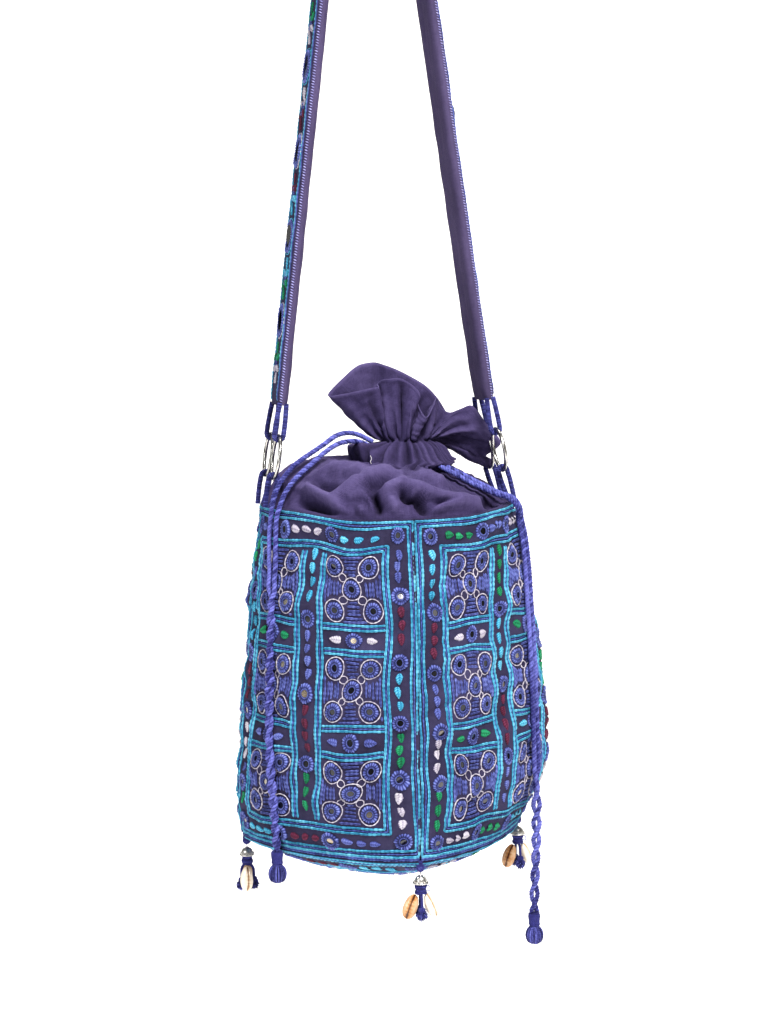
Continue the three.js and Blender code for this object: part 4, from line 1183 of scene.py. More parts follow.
def polyline_push(px, pts, amp, wl, wr):
    """Height of a soft ridge along a line in the picture, steeper on one side."""
    pts = np.array([(270 + x / 6.272, 355 + y / 6.272) for x, y in pts])
    pts = catmull(np.c_[pts, np.zeros(len(pts))], 24)[:, :2] if len(pts) > 2 else resample(pts, count=16)[0]
    best = np.full(px.shape[:-1], 1e9)
    side = np.zeros(px.shape[:-1])
    along = np.zeros(px.shape[:-1])
    for k in range(len(pts) - 1):
        a, b = pts[k], pts[k + 1]
        ab = b - a
        t = np.clip(((px - a) @ ab) / (ab @ ab), 0, 1)
        q = px - (a + t[..., None] * ab)
        d = np.hypot(q[..., 0], q[..., 1])
        hit = d < best
        best = np.where(hit, d, best)
        side = np.where(hit, ab[0] * q[..., 1] - ab[1] * q[..., 0], side)
        along = np.where(hit, (k + t) / (len(pts) - 1), along)
    w = np.where(side > 0, wr, wl)
    ends = 0.35 + 0.65 * smoothstep(0, 0.22, along) * smoothstep(0, 0.22, 1 - along)
    return amp * ends * np.exp(-(best / w) ** 2)


def collar():
    g = Geo()
    n = 330
    ii = np.arange(n) * 192.0 / n
    th = -math.pi / 2 + 2 * math.pi * np.arange(n) / n

    def dome(scale, z, tilt, cx):
        q = outline(ii, 0.0)
        x = q[:, 0] - q[:, 2] * 3.7
        y = q[:, 1] - q[:, 3] * 3.7
        fall = min(0.21, 0.6 * (1 - scale))
        s = scale * (1 - fall * np.sin(2 * np.arctan2(y, x)) ** 2)
        x2, y2 = cx * (1 - scale) + x * s, y * s
        press = 8 * np.exp(-((x2 - 54) ** 2 + (y2 + 36) ** 2) / 700)
        return np.stack([x2, y2, z - tilt * x2 - press], -1)

    def ell(cx, cy, a, b, z):
        return np.stack([cx + a * np.cos(th), cy + b * np.sin(th), np.full(n, z) if np.isscalar(z) else z], -1)

    K = [ring_at(9, 3.9, n=n), ring_at(4, 3.5, n=n), ring_at(-1.0, 3.2, n=n)]
    K += [dome(0.955, -506, 0.045, 0), dome(0.88, -495.5, 0.07, 2), dome(0.76, -488.5, 0.1, 8), dome(0.56, -485.3, 0.08, 15), dome(0.40, -484.5, 0.03, NECK_X)]
    body = rows_between(K, [2, 3, 8, 9, 10, 11, 8])
    R1 = len(body)
    N = grid_normals(body)
    N = np.where(N[..., 2:3] < -0.2, -N, N)
    s1 = np.linspace(0, 1, R1)[:, None]
    px = to_px(body)
    front = smoothstep(25, -5, body[..., 1]) * smoothstep(0.08, 0.20, s1)
    push = 0.0
    for pts, amp, wl, wr in FOLDS:
        push = push + polyline_push(px, pts, amp, wl, wr)
    # folds that run in to the neck behind, and small ones everywhere
    back = 1 - smoothstep(25, -5, body[..., 1])
    T2 = np.broadcast_to(th[None], (R1, n))
    radial = 3.4 * np.sin(9 * T2 + 1.4 * np.sin(3 * T2) + 2.5 * s1) + 2.0 * np.sin(17 * T2 + 4 * s1 + 1.1 * np.sin(5 * T2))
    ed = smoothstep(0.10, 0.32, s1)
    # the front folds' height, kept for the painted shade below
    fold_shade_height = front * push
    push = front * 9.0 * np.tanh(push * 2.8 / 9.0) + back * radial * ed * (0.7 + 0.8 * s1)
    pl = 26
    pleat = np.cos(pl * T2 + 1.5 * np.sin(2 * T2 + 1) + 0.8 * np.sin(5 * T2))
    push = push + 2.5 * smoothstep(0.70, 1.0, s1) * pleat + 0.45 * front * np.sin(23 * T2 + 9 * s1) * ed
    push = push + 0.35 * field(W_FINE, T2 * 60, s1 * 110) * ed
    # the cords press on the cloth
    for c in CORD_PATHS.values():
        for q in c[:120:6]:
            d = np.linalg.norm(body - q, axis=-1)
            push = np.where(d < 16, np.minimum(push, push * 0 + np.maximum(-3.0, (d - 6.5)) * 0.9), push)
    body = body + N * push[..., None]

    # gathered casing and drawn neck
    def casing(cx, a, b, z, amp, ph, lean=0.0):
        pleats = np.cos(pl * th + 1.5 * np.sin(2 * th + 1) + 0.8 * np.sin(5 * th) + ph)
        extra = 0.6 * np.sin(7 * th + ph * 2)
        uneven = 0.62 + 0.38 * np.sin(3 * th + 1.1) + 0.30 * np.sin(8 * th + 2.0 + ph)
        rr = 1 + (amp * pleats * uneven * 1.15 + extra * amp * 0.5) / a
        x = cx + a * rr * np.cos(th)
        y = b * rr * np.sin(th)
        dip = smoothstep(-468.0, -478.0, z)
        return np.stack([x, y, z + 0.36 * amp * np.sin(11 * th + ph) + lean * np.cos(th) + dip * (1.3 * np.sin(4 * th + 0.9) + 0.9 * np.sin(9 * th + 2.2))], -1)

    neck = [casing(NECK_X, 34.5, 28.5, -483.4, 1.9, 0.0), casing(NECK_X, 30.0, 25.0, -481.0, 2.4, 0.1), casing(NECK_X, 26.6, 22.4, -476.8, 2.9, 0.25),
            casing(NECK_X, 23.4, 19.2, -472.0, 2.9, 0.4), casing(NECK_X, 19.5, 15.0, -468.6, 2.0, 0.5), casing(NECK_X, 15.6, 11.6, -467.0, 1.7, 0.55)]
    # a slack lip of the casing stands out on the left
    left = np.exp(-((np.abs(np.mod(th - math.pi * 1.06 + math.pi, 2 * math.pi) - math.pi)) / 0.62) ** 2)
    for q, (o_, z_) in enumerate(((6.0, 2.0), (13.0, 6.5), (16.0, 8.0), (9.0, 3.0), (3.0, 0.5), (0.0, 0.0))):
        neck[q][:, 0] += o_ * left * np.cos(th)
        neck[q][:, 1] += o_ * left * np.sin(th)
        neck[q][:, 2] += z_ * left * (1 + 0.25 * np.sin(9 * th))
    Kn = [body[-2], body[-1]] + neck
    mid = rows_between(Kn, [1, 4, 4, 5, 4, 4, 3])[2:]

    # the frill above, fanned out to its hem
    hem = np.array([from_px(*q) for q in HEM_PX])
    H = catmull(hem, n, closed=True)
    # turn the hem so that its place round the neck is right: the left end at the neck's left
    shift = 0
    mid_left = int(round((math.pi - (-math.pi / 2)) / (2 * math.pi) * n)) % n
    H = np.roll(H, mid_left + shift, axis=0)
    # spread the columns evenly round both, then let each go up and out
    A = mid[-1]
    radial_dir = unit(np.stack([np.cos(th), np.sin(th) * 0.8, np.zeros(n)], -1))
    rows = []
    m = 34
    L = np.linalg.norm(H - A, axis=1)[:, None]
    d0 = (unit(H - A) * 0.75 + radial_dir * 0.30 + np.array([0, 0, 0.35])) * L * 0.95
    d1 = unit(H - A) * L * 0.75 + radial_dir * L * 0.15
    # on the left the cloth leaves the neck flatter and turns up to its tip
    wl_ = np.exp(-((np.mod(th, 2 * math.pi) - math.pi) / 0.75) ** 2)[:, None] * 0.55
    d0 = d0 + L * wl_ * (radial_dir * 0.75 + np.array([0, 0, -0.35]) - unit(H - A) * 0.25)
    d1 = d1 + L * wl_ * (np.array([0.1, 0, 0.45]) - unit(H - A) * 0.15)
    for t in np.linspace(0, 1, m)[1:]:
        h00, h10 = 2 * t ** 3 - 3 * t ** 2 + 1, t ** 3 - 2 * t ** 2 + t
        h01, h11 = -2 * t ** 3 + 3 * t ** 2, t ** 3 - t ** 2
        rows.append(A * h00 + d0 * h10 + H * h01 + d1 * h11)
    fr = np.array(rows)
    tt = np.linspace(0, 1, m)[1:][:, None]
    # take the pleats out of the straight blend, then put folds in along the cloth's normal
    Nf = grid_normals(fr)
    u = np.arange(n)[None] / n * 2 * math.pi
    fold = 2.2 * (1 - tt) ** 1.2 * np.cos(pl * u + 1.5 * np.sin(2 * u + 1) + 0.8 * np.sin(5 * u) + 0.5) * smoothstep(0, 0.12, tt)
    wv_ = np.abs(np.sin(5.5 * u + 0.9 * np.sin(2 * u) + 0.35 * np.sin(5 * u + 1) + 0.3))
    calm = 1 - 0.55 * np.exp(-((np.mod(u - math.pi / 2, 2 * math.pi) - 0.0) / 0.8) ** 2) - 0.55 * np.exp(-((np.mod(u - math.pi / 2, 2 * math.pi) - 2 * math.pi) / 0.8) ** 2)
    fold = fold + calm * 7.4 * np.sin(math.pi * np.clip(tt, 0, 1)) ** 0.7 * (1.9 * wv_ ** 0.6 - 1.35) * (1 - 0.55 * tt) * (0.75 + 0.35 * np.sin(3 * u + 2))
    fold = fold + 1.3 * np.sin(math.pi * np.clip(tt * 1.1, 0, 1)) * np.sin(19 * u + 2.0 * np.sin(3 * u)) * (1 - tt)
    fold = fold + 0.35 * field(W_FINE, u * 40, tt * 50) * smoothstep(0.05, 0.3, tt)
    fr = fr + Nf * (fold * (1 - smoothstep(0.82, 1.0, tt)))[..., None]
    P = np.concatenate([body, mid, fr])
    # smooth a little along the columns so the rows join without a crease
    for _ in range(1):
        Q = P.copy()
        Q[R1 - 2:R1 + 6] = (P[R1 - 3:R1 + 5] + P[R1 - 2:R1 + 6] * 2 + P[R1 - 1:R1 + 7]) / 4
        P = Q
    R = len(P)
    s = np.r_[0, np.cumsum(np.median(np.linalg.norm(np.diff(P, axis=0), axis=2), axis=1))]
    around = np.linspace(0, 590, n)
    st = np.stack(np.broadcast_arrays(around[None], s[:, None]), -1)
    tone = 0.5 + 0.08 * field(W_BIG, st[..., 0], st[..., 1])
    tone = tone + np.where(np.arange(R) >= R - 2, 0.28, 0.0)[:, None]
    tone = np.array(tone)
    # painted shade and light: the dome's cloth is darker in the hollows between its folds and lighter on their ridges
    tone[:R1] += np.clip(fold_shade_height, -5, 2.5) * 0.13 - 0.04
    # painted shade and light: the frill is darker in its fold valleys and lighter on the ridges, and the calm front
    # flap is painted lighter to lift its shade
    tone[-fold.shape[0]:] += np.clip(fold, -6, 2.5) * 0.085 * (1 - smoothstep(0.85, 1.0, tt)) + 0.30 * (1 - calm)
    # painted shade and light: the gathered casing is darker in the pleat valleys and lighter on the pleats
    tone[R1:-fold.shape[0]] += 0.20 * (pleat[:1] - 0.6)
    # the hem is given no extra offset
    hemz = np.zeros(R)
    closed_sheet(g, P, 0.6, 0, np.clip(tone, 0, 1), st, hem=hemz)
    return g, P


gcol, COLLAR_P = collar()
collar_o = gcol.make("drawstring_collar_cloth", [M_COTTON], "bag")
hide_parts("drawstring_collar")

# the end of a sewing thread by the casing
g = Geo()
_pc = to_px(COLLAR_P.reshape(-1, 3))
_near = np.hypot(_pc[:, 0] - 372.5, _pc[:, 1] - 460.0) < 2.2
_cand = COLLAR_P.reshape(-1, 3)[_near]
th0 = _cand[np.argmin((_cand - cam_pos) @ view_d)] - view_d * 0.8
tube(g, catmull(np.array([th0 + q for q in ([0, 0, 2.6], [0.5, -1.2, 0.6], [-0.4, -1.6, -1.8], [1.0, -1.4, -3.6], [2.6, -1.0, -4.2])]), 22), 0.24, 0, 6, 0.9)
o = g.make("casing_thread_end", [M_WHITE], "bag")

# ------------------------------------------------------------------ strap
RAD = math.pi / 180
STRAP_END = (75.0, -439.0)


def strap_path():
    a0, R, cz = 7.5 * RAD, 15.0, -11.0
    f = np.array([4 + R * math.cos(a0), cz + R * math.sin(a0)])
    leg = np.linspace(STRAP_END, f, 240, endpoint=False)
    ang = np.linspace(a0, math.pi / 2, 26)
    arc = np.stack([4 + R * np.cos(ang), cz + R * np.sin(ang)], -1)
    right = np.vstack([leg, arc])
    na = np.r_[np.full(240, a0), ang]
    left = right[::-1] * [-1, 1]
    P = np.vstack([right, left])
    A = np.r_[na, math.pi - na[::-1]]
    keep = np.r_[True, np.linalg.norm(np.diff(P, axis=0), axis=1) > 1e-6]
    P, A = P[keep], A[keep]
    s = np.r_[0, np.cumsum(np.linalg.norm(np.diff(P, axis=0), axis=1))]
    return P, A, s


SP, SA, SS = strap_path()
STRAP_LEN = SS[-1]
W_STRAP = waves(70, 6, 18, 60)


def strap_at(s, y, side):
    """Points on the strap: s along it, y across; side 1 the outer face, -1 the inner."""
    s, y = np.broadcast_arrays(np.asarray(s, float), np.asarray(y, float))
    e = 0.6

    def pos(s, y):
        sc = np.clip(s, 0, STRAP_LEN)
        x = np.interp(sc, SS, SP[:, 0]); z = np.interp(sc, SS, SP[:, 1]); a = np.interp(sc, SS, SA)
        end = smoothstep(0, 9, sc) * smoothstep(0, 9, STRAP_LEN - sc)
        t = 4.35 * (0.80 + 0.20 * end) * np.clip(1 - (np.abs(y) / 18.6) ** 5.0, 0, 1) ** 0.5
        t = t + 0.35 * field(W_STRAP, sc, y * 2 + side * 40) * np.clip(1 - (np.abs(y) / 17.5) ** 4, 0, 1)
        if side < 0:                      # the inner face pulls in a little along its middle
            t = t - 0.8 * np.exp(-(y / 7.0) ** 2) * (0.6 + 0.4 * np.sin(sc / 37.0))
        wob = 0.5 * np.sin(sc / 61.0) * end
        return np.stack([x + np.cos(a) * t * side, y * (0.985 + 0.015 * end) + wob, z + np.sin(a) * t * side], -1)

    P = pos(s, y)
    yy = np.where(np.abs(y) > 17.5, y - np.sign(y) * e, y)
    A = pos(s + e, y) - pos(s - e, y)
    B = pos(s, np.clip(y + e, -18.4, 18.4)) - pos(s, np.clip(y - e, -18.4, 18.4))
    N = unit(np.cross(A, B))
    a = np.interp(np.clip(s, 0, STRAP_LEN), SS, SA)
    out = np.stack([np.cos(a) * side, 0 * a, np.sin(a) * side], -1)
    N = np.where(((N * out).sum(-1) < 0)[..., None], -N, N)
    return P, N


def strap():
    g = Geo()
    ns = 430
    s = np.linspace(0, STRAP_LEN, ns)
    ys = 18.6 * np.sin(np.linspace(-math.pi / 2, math.pi / 2, 19))
    rows = []
    S, Y = np.meshgrid(s, ys, indexing="ij")
    Po, _ = strap_at(S, Y, 1)
    Pi, _ = strap_at(S, Y, -1)
    ring = np.concatenate([Po, Pi[:, ::-1][:, 1:-1]], axis=1)
    yy = np.r_[ys, 37.2 - ys[::-1][1:-1]]
    st = np.stack(np.broadcast_arrays(yy[None], s[:, None]), -1)
    tone = 0.5 + 0.08 * field(W_BIG, st[..., 1], st[..., 0])
    cols = ring.shape[1]
    mats = np.zeros((ns - 1, cols), int)
    # the embroidered face's ground is darker
    inface = (np.arange(cols) < 18) & (np.abs(0.5 * (yy + np.roll(yy, -1))) < 16.4)
    mats[:, inface] = 1
    g.grid(ring, mats.reshape(-1), tone, st, wrap=True, flip=False)
    for k, fl in ((0, False), (-1, True)):
        c = ring[k].mean(0)
        V = np.vstack([ring[k], c])
        F = [[q, (q + 1) % cols, cols] if fl else [(q + 1) % cols, q, cols] for q in range(cols)]
        g.add(V, F, 0, 0.45)
    return g


def strap_embroidery():
    g = Geo()
    place = lambda x, y: strap_at(y, x, 1)
    r = np.random.default_rng(77)
    # overcast stitches along both edges of the embroidered face
    for e in (-1, 1):
        for s in np.arange(1.5, STRAP_LEN - 1.0, 1.9):
            a = np.array([[e * 16.7, s - 0.5], [e * 17.7, s], [e * 18.45, s + 0.55]])
            P, N = place(a[:, 0] , a[:, 1])
            ribbon(g, P + N * 0.08, N, 7, half=0.46, height=0.75, seed=int(s * 10) + (e > 0), coarse=True, light=0.18)
    for e, mt in ((-14.0, V_), (14.0, V_), (-12.4, C_), (12.4, C_)):
        sew(g, place, [[e, 3.0], [e, STRAP_LEN - 3.0]], mt, half=0.75, height=0.9, coarse=True, step=1.5)
    s = 26.0
    k = 0
    cyc = [R_, C_, G_, W_]
    while s < STRAP_LEN - 24:
        mirror_ring(g, place, 0.0, s, V_, MIR, r_out=11.4, r_in=8.2, seed=900 + k, petals=34)
        sew(g, place, circle_pts(0, s, 12.6, 34, 0.015, seed=k), C_ if k % 2 else W_, half=0.55, height=0.8, closed=True)
        if s + 30 < STRAP_LEN - 14:
            for j, (dx, ds, ang) in enumerate(((0, 19.0, math.pi / 2), (-5.4, 25.6, 0.6 + math.pi), (5.4, 25.6, -0.6), (-5.4, 34.0, -0.6 + math.pi), (5.4, 34.0, 0.6), (0, 40.4, -math.pi / 2))):
                leaf(g, place, dx, s + ds, ang, cyc[(k + (j > 2)) % 4], L=8.0, Wd=5.2, seed=950 + k * 10 + j)
            mirror_ring(g, place, 0.0, s + 29.8, V_, MIR, r_out=4.6, r_in=1.8, seed=1900 + k, petals=16)
        s += 59.5
        k += 1
    return g


gs = strap()
strap_o = gs.make("strap_band_cloth", [M_STRAP, M_CLOTH], "strap")
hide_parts("strap_band")
gse = strap_embroidery()
strap_e = gse.make("strap_embroidery", EMB_MATS + [M_PLY], "strap")
print("strap triangles:", gs.tris(), gse.tris())

# ------------------------------------------------------------------ rings and the thread loops round them
RING_X, RING_Z, RING_R, RING_W, RING_Y, TILT = 81.0, -475.0, 15.15, 1.35, 17.5, 9 * RAD
LOOP_HALF = 3.4


def loop_curve(feet, wire, feet_half, y):
    d = wire - feet
    ln = np.hypot(*d)
    d = d / ln
    side = np.array([d[1], -d[0]])
    at = lambda al, ac: np.array([*(feet + d * al + side * ac)])
    pts = [at(0, feet_half), at(ln * 0.3, feet_half + (LOOP_HALF - feet_half) * 0.55), at(ln * 0.7, LOOP_HALF)]
    pts += [at(ln - 0.1 + LOOP_HALF * math.sin(a), LOOP_HALF * math.cos(a)) for a in np.linspace(0, math.pi, 7)]
    pts += [at(ln * 0.7, -LOOP_HALF), at(ln * 0.3, -feet_half - (LOOP_HALF - feet_half) * 0.55), at(0, -feet_half)]
    return np.array([[p[0], y, p[1]] for p in pts])


def wrapped(g, P, R, mat, pitch=0.95, sides=7, seed=0):
    """A thread loop covered with close buttonhole stitches."""
    r = np.random.default_rng(seed)
    Q, s = resample(P, step=pitch / 3)
    k = np.arange(len(Q))
    rad = R * np.where(k % 3 == 0, 0.86, np.where(k % 3 == 1, 1.02, 1.0)) * (1 + 0.04 * r.uniform(-1, 1, len(Q) // 3 + 2)[k // 3])
    # painted shade: every third ring, the pinch between the stitches, is much darker; the rest a little lighter, with
    # random colour a stitch
    tone = 0.42 + np.where(k % 3 == 0, -0.40, 0.16) + 0.16 * r.uniform(-1, 1, len(Q) // 3 + 2)[k // 3]
    ang = np.linspace(0, 2 * math.pi, sides, endpoint=False)
    t2 = np.clip(tone[:, None] + 0.0 * ang[None], 0, 1)
    tube(g, Q, rad, mat, sides, t2)
    # the row of knots along its outside
    T, N, B = frames(Q)
    kn = Q + N * (R * 0.92)
    n2 = len(kn)
    rk = 0.42 * np.where(k % 3 == 1, 1.25, 0.65)
    tube(g, kn, rk, mat, 5, np.clip((tone + 0.15)[:, None] + np.zeros((1, 5)), 0, 1))


for side, s in (("left", -1), ("right", 1)):
    for place_, y in (("front", -RING_Y), ("back", RING_Y)):
        # the steel ring, a closed wire with its butt joint
        g = Geo()
        a = np.linspace(0, 2 * math.pi, 97)[:-1]
        C = np.stack([s * RING_X + 0 * a, y + RING_R * np.sin(a), RING_R * np.cos(a)], -1)
        dx = -s * np.sin(TILT) * RING_R * np.cos(a)
        C[:, 0] += dx
        C[:, 2] = RING_Z + RING_R * np.cos(a) * math.cos(TILT)
        rad = RING_W * (1 + 0.012 * np.sin(5 * a))
        j = np.abs(np.arange(96) - 60)
        rad = rad * np.where(j == 0, 0.90, 1.0)
        tube(g, C, rad, 0, 14, 0.5, closed=True)
        o = g.make(f"ring_{side}_{place_}_wire", [M_NICKEL], f"ring_{side}_{place_}")
        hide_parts(f"ring_{side}_{place_}")
        top = np.array([s * (RING_X - RING_R * math.sin(TILT)), RING_Z + RING_R * math.cos(TILT)])
        bot = np.array([s * (RING_X + RING_R * math.sin(TILT)), RING_Z - RING_R * math.cos(TILT)])
        ed = np.array([-s * math.sin(7.5 * RAD), math.cos(7.5 * RAD)])
        foot = np.array([s * STRAP_END[0], STRAP_END[1]]) + ed * 1.6
        g = Geo()
        wrapped(g, loop_curve(foot, top, 2.4, y), 1.75, 0, seed=int(60 + s + y))
        o = g.make(f"strap_loop_{side}_{place_}_thread", [M_CORD], "strap")
        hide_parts(f"strap_loop_{side}_{place_}")
        rx = -87.9 if s < 0 else 90.2
        rz = RIM + float(lift(np.array(rx), 0.0)) + 0.35
        g = Geo()
        wrapped(g, loop_curve(np.array([rx, rz - 0.6]), bot, 2.0, y), 1.75, 0, seed=int(90 + s + y))
        o = g.make(f"bag_loop_{side}_{place_}_thread", [M_CORD], "bag")
        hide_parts(f"bag_loop_{side}_{place_}")


# ------------------------------------------------------------------ small parts turned about a centre line
def lathe(g, prof, n, mat, mtx=None, tone=0.5, ribs=0, depth=0.0, tones=None, twist=0.0):
    """A turned form, prof as (radius, z); ribs are grooves down it."""
    prof = np.array(prof, float)
    a = np.linspace(0, 2 * math.pi, n, endpoint=False)
    k = np.arange(len(prof))[:, None]
    rr = prof[:, :1] * (1 + (depth * (np.cos(ribs * a + twist * k) - 1) * 0.5 if ribs else 0))
    P = np.stack([rr * np.cos(a), rr * np.sin(a), np.broadcast_to(prof[:, 1:], (len(prof), n))], -1)
    tn = np.full((len(prof), n), tone) if tones is None else np.broadcast_to(np.asarray(tones)[:, None], (len(prof), n)).copy()
    # painted shade and highlight: lighter on the ribs, darker in the grooves between them
    if ribs:
        tn = np.clip(tn + 0.22 * np.cos(ribs * a + twist * k), 0, 1)
    st = np.stack(np.broadcast_arrays(prof[:, 1:] * 1.0, a[None] * 3.0), -1)
    if mtx is not None:
        P = P @ mtx[:3, :3].T + mtx[:3, 3]
    g.grid(P, mat, tn, st, wrap=True, flip=(prof[-1, 1] < prof[0, 1]))
    return P


def at(x, y, z, rz=0.0, rx=0.0, ry=0.0):
    from mathutils import Euler
    e = Euler((rx, ry, rz)).to_matrix()
    m_ = np.eye(4)
    m_[:3, :3] = np.array([list(row) for row in e])
    m_[:3, 3] = (x, y, z)
    return m_


def knot_ball(g, c, r, mat, seed=0, turns=5):
    """A knot: short lengths of cord wound over and over a small ball."""
    rr = np.random.default_rng(seed)
    c = np.asarray(c, float)
    for k in range(turns):
        ax = unit(rr.normal(size=3))
        u = unit(np.cross(ax, [0.3, 0.5, 0.8]))
        v = np.cross(ax, u)
        a = np.linspace(0, 2 * math.pi, 23)[:-1]
        rad = r * 0.64
        P = c + (u * np.cos(a)[:, None] + v * np.sin(a)[:, None]) * rad + ax * (r * 0.16 * np.sin(2 * a))[:, None]
        tube(g, P, r * 0.36, mat, 7, 0.5 + 0.12 * rr.uniform(-1, 1), closed=True)


def pompom(g, c, r, mat, seed=0, n=105, drop=0.35):
    """A small tassel ball: many short ends of thread round a bound head."""
    rr = np.random.default_rng(seed)
    c = np.asarray(c, float)
    # the body
    u = np.linspace(0.02, math.pi - 0.02, 12)
    prof = [(r * 0.80 * math.sin(q), r * 0.85 * math.cos(q)) for q in u]
    lathe(g, prof, 22, mat, at(*c), tone=0.32, ribs=11, depth=0.18)
    for k in range(n):
        z = rr.uniform(-1, 0.75)
        a = rr.uniform(0, 2 * math.pi)
        d = np.array([math.sqrt(1 - z * z) * math.cos(a), math.sqrt(1 - z * z) * math.sin(a), z])
        p0 = c + d * r * 0.55
        p2 = c + d * r * rr.uniform(0.94, 1.08) + np.array([0, 0, -drop * r * rr.uniform(0.2, 1)])
        p1 = (p0 + p2) / 2 + d * 0.1 * r + np.array([0, 0, 0.12 * r])
        t = np.linspace(0, 1, 4)[:, None]
        P = (1 - t) ** 2 * p0 + 2 * t * (1 - t) * p1 + t * t * p2
        tube(g, P, np.array([0.30, 0.30, 0.27, 0.14]), mat, 5, float(np.clip(0.5 + 0.3 * rr.normal(), 0.05, 0.98)), caps=False)


def cowrie(g, m_, mat, seed=0, a=6.0, b=3.8, c=8.8):
    """A cowrie: an egg flat on one side, with a toothed slit down the flat."""
    r = np.random.default_rng(seed)
    nu, nv = 34, 40
    u = np.linspace(0.0, math.pi, nu)[:, None]
    v = np.linspace(0, 2 * math.pi, nv, endpoint=False)[None]
    z = c * np.cos(u) * (1 + 0 * v)
    taper = 1 - 0.10 * np.cos(u)
    x = b * np.sin(u) * np.cos(v) * taper
    y = a * np.sin(u) ** 0.9 * np.sin(v) * taper
    # the flat, slit side is towards +X
    x = np.where(x > 0, x * 0.62, x)
    slit = np.exp(-(y / (0.55 + 0.12 * np.cos(z))) ** 2) * (x > 0) * smoothstep(1.04, 0.9, np.abs(z) / c)
    teeth = np.exp(-(y / 2.0) ** 2) * (0.5 + 0.5 * np.cos(z * 5.2)) * (x > 0) * (1 - slit) * smoothstep(1.0, 0.8, np.abs(z) / c)
    x = x - 1.5 * slit - 0.25 * teeth
    edge = np.exp(-(((np.abs(y) / a) - 0.92) / 0.14) ** 2) * 0.0
    back = smoothstep(0.0, -0.8, x / b)
    # painted shade: much darker down the slit and in the grooves between its teeth
    tone = 0.74 + 0.10 * r.uniform(-1, 1) - 0.22 * back * (0.5 + 0.5 * np.sin(z / 2.0 + y)) - 0.72 * slit - 0.26 * teeth
    P = np.stack([x, y, z + 0 * v], -1) @ m_[:3, :3].T + m_[:3, 3]
    g.grid(P, mat, np.clip(tone, 0, 1), np.stack([y, z + 0 * v], -1), wrap=True, flip=False)


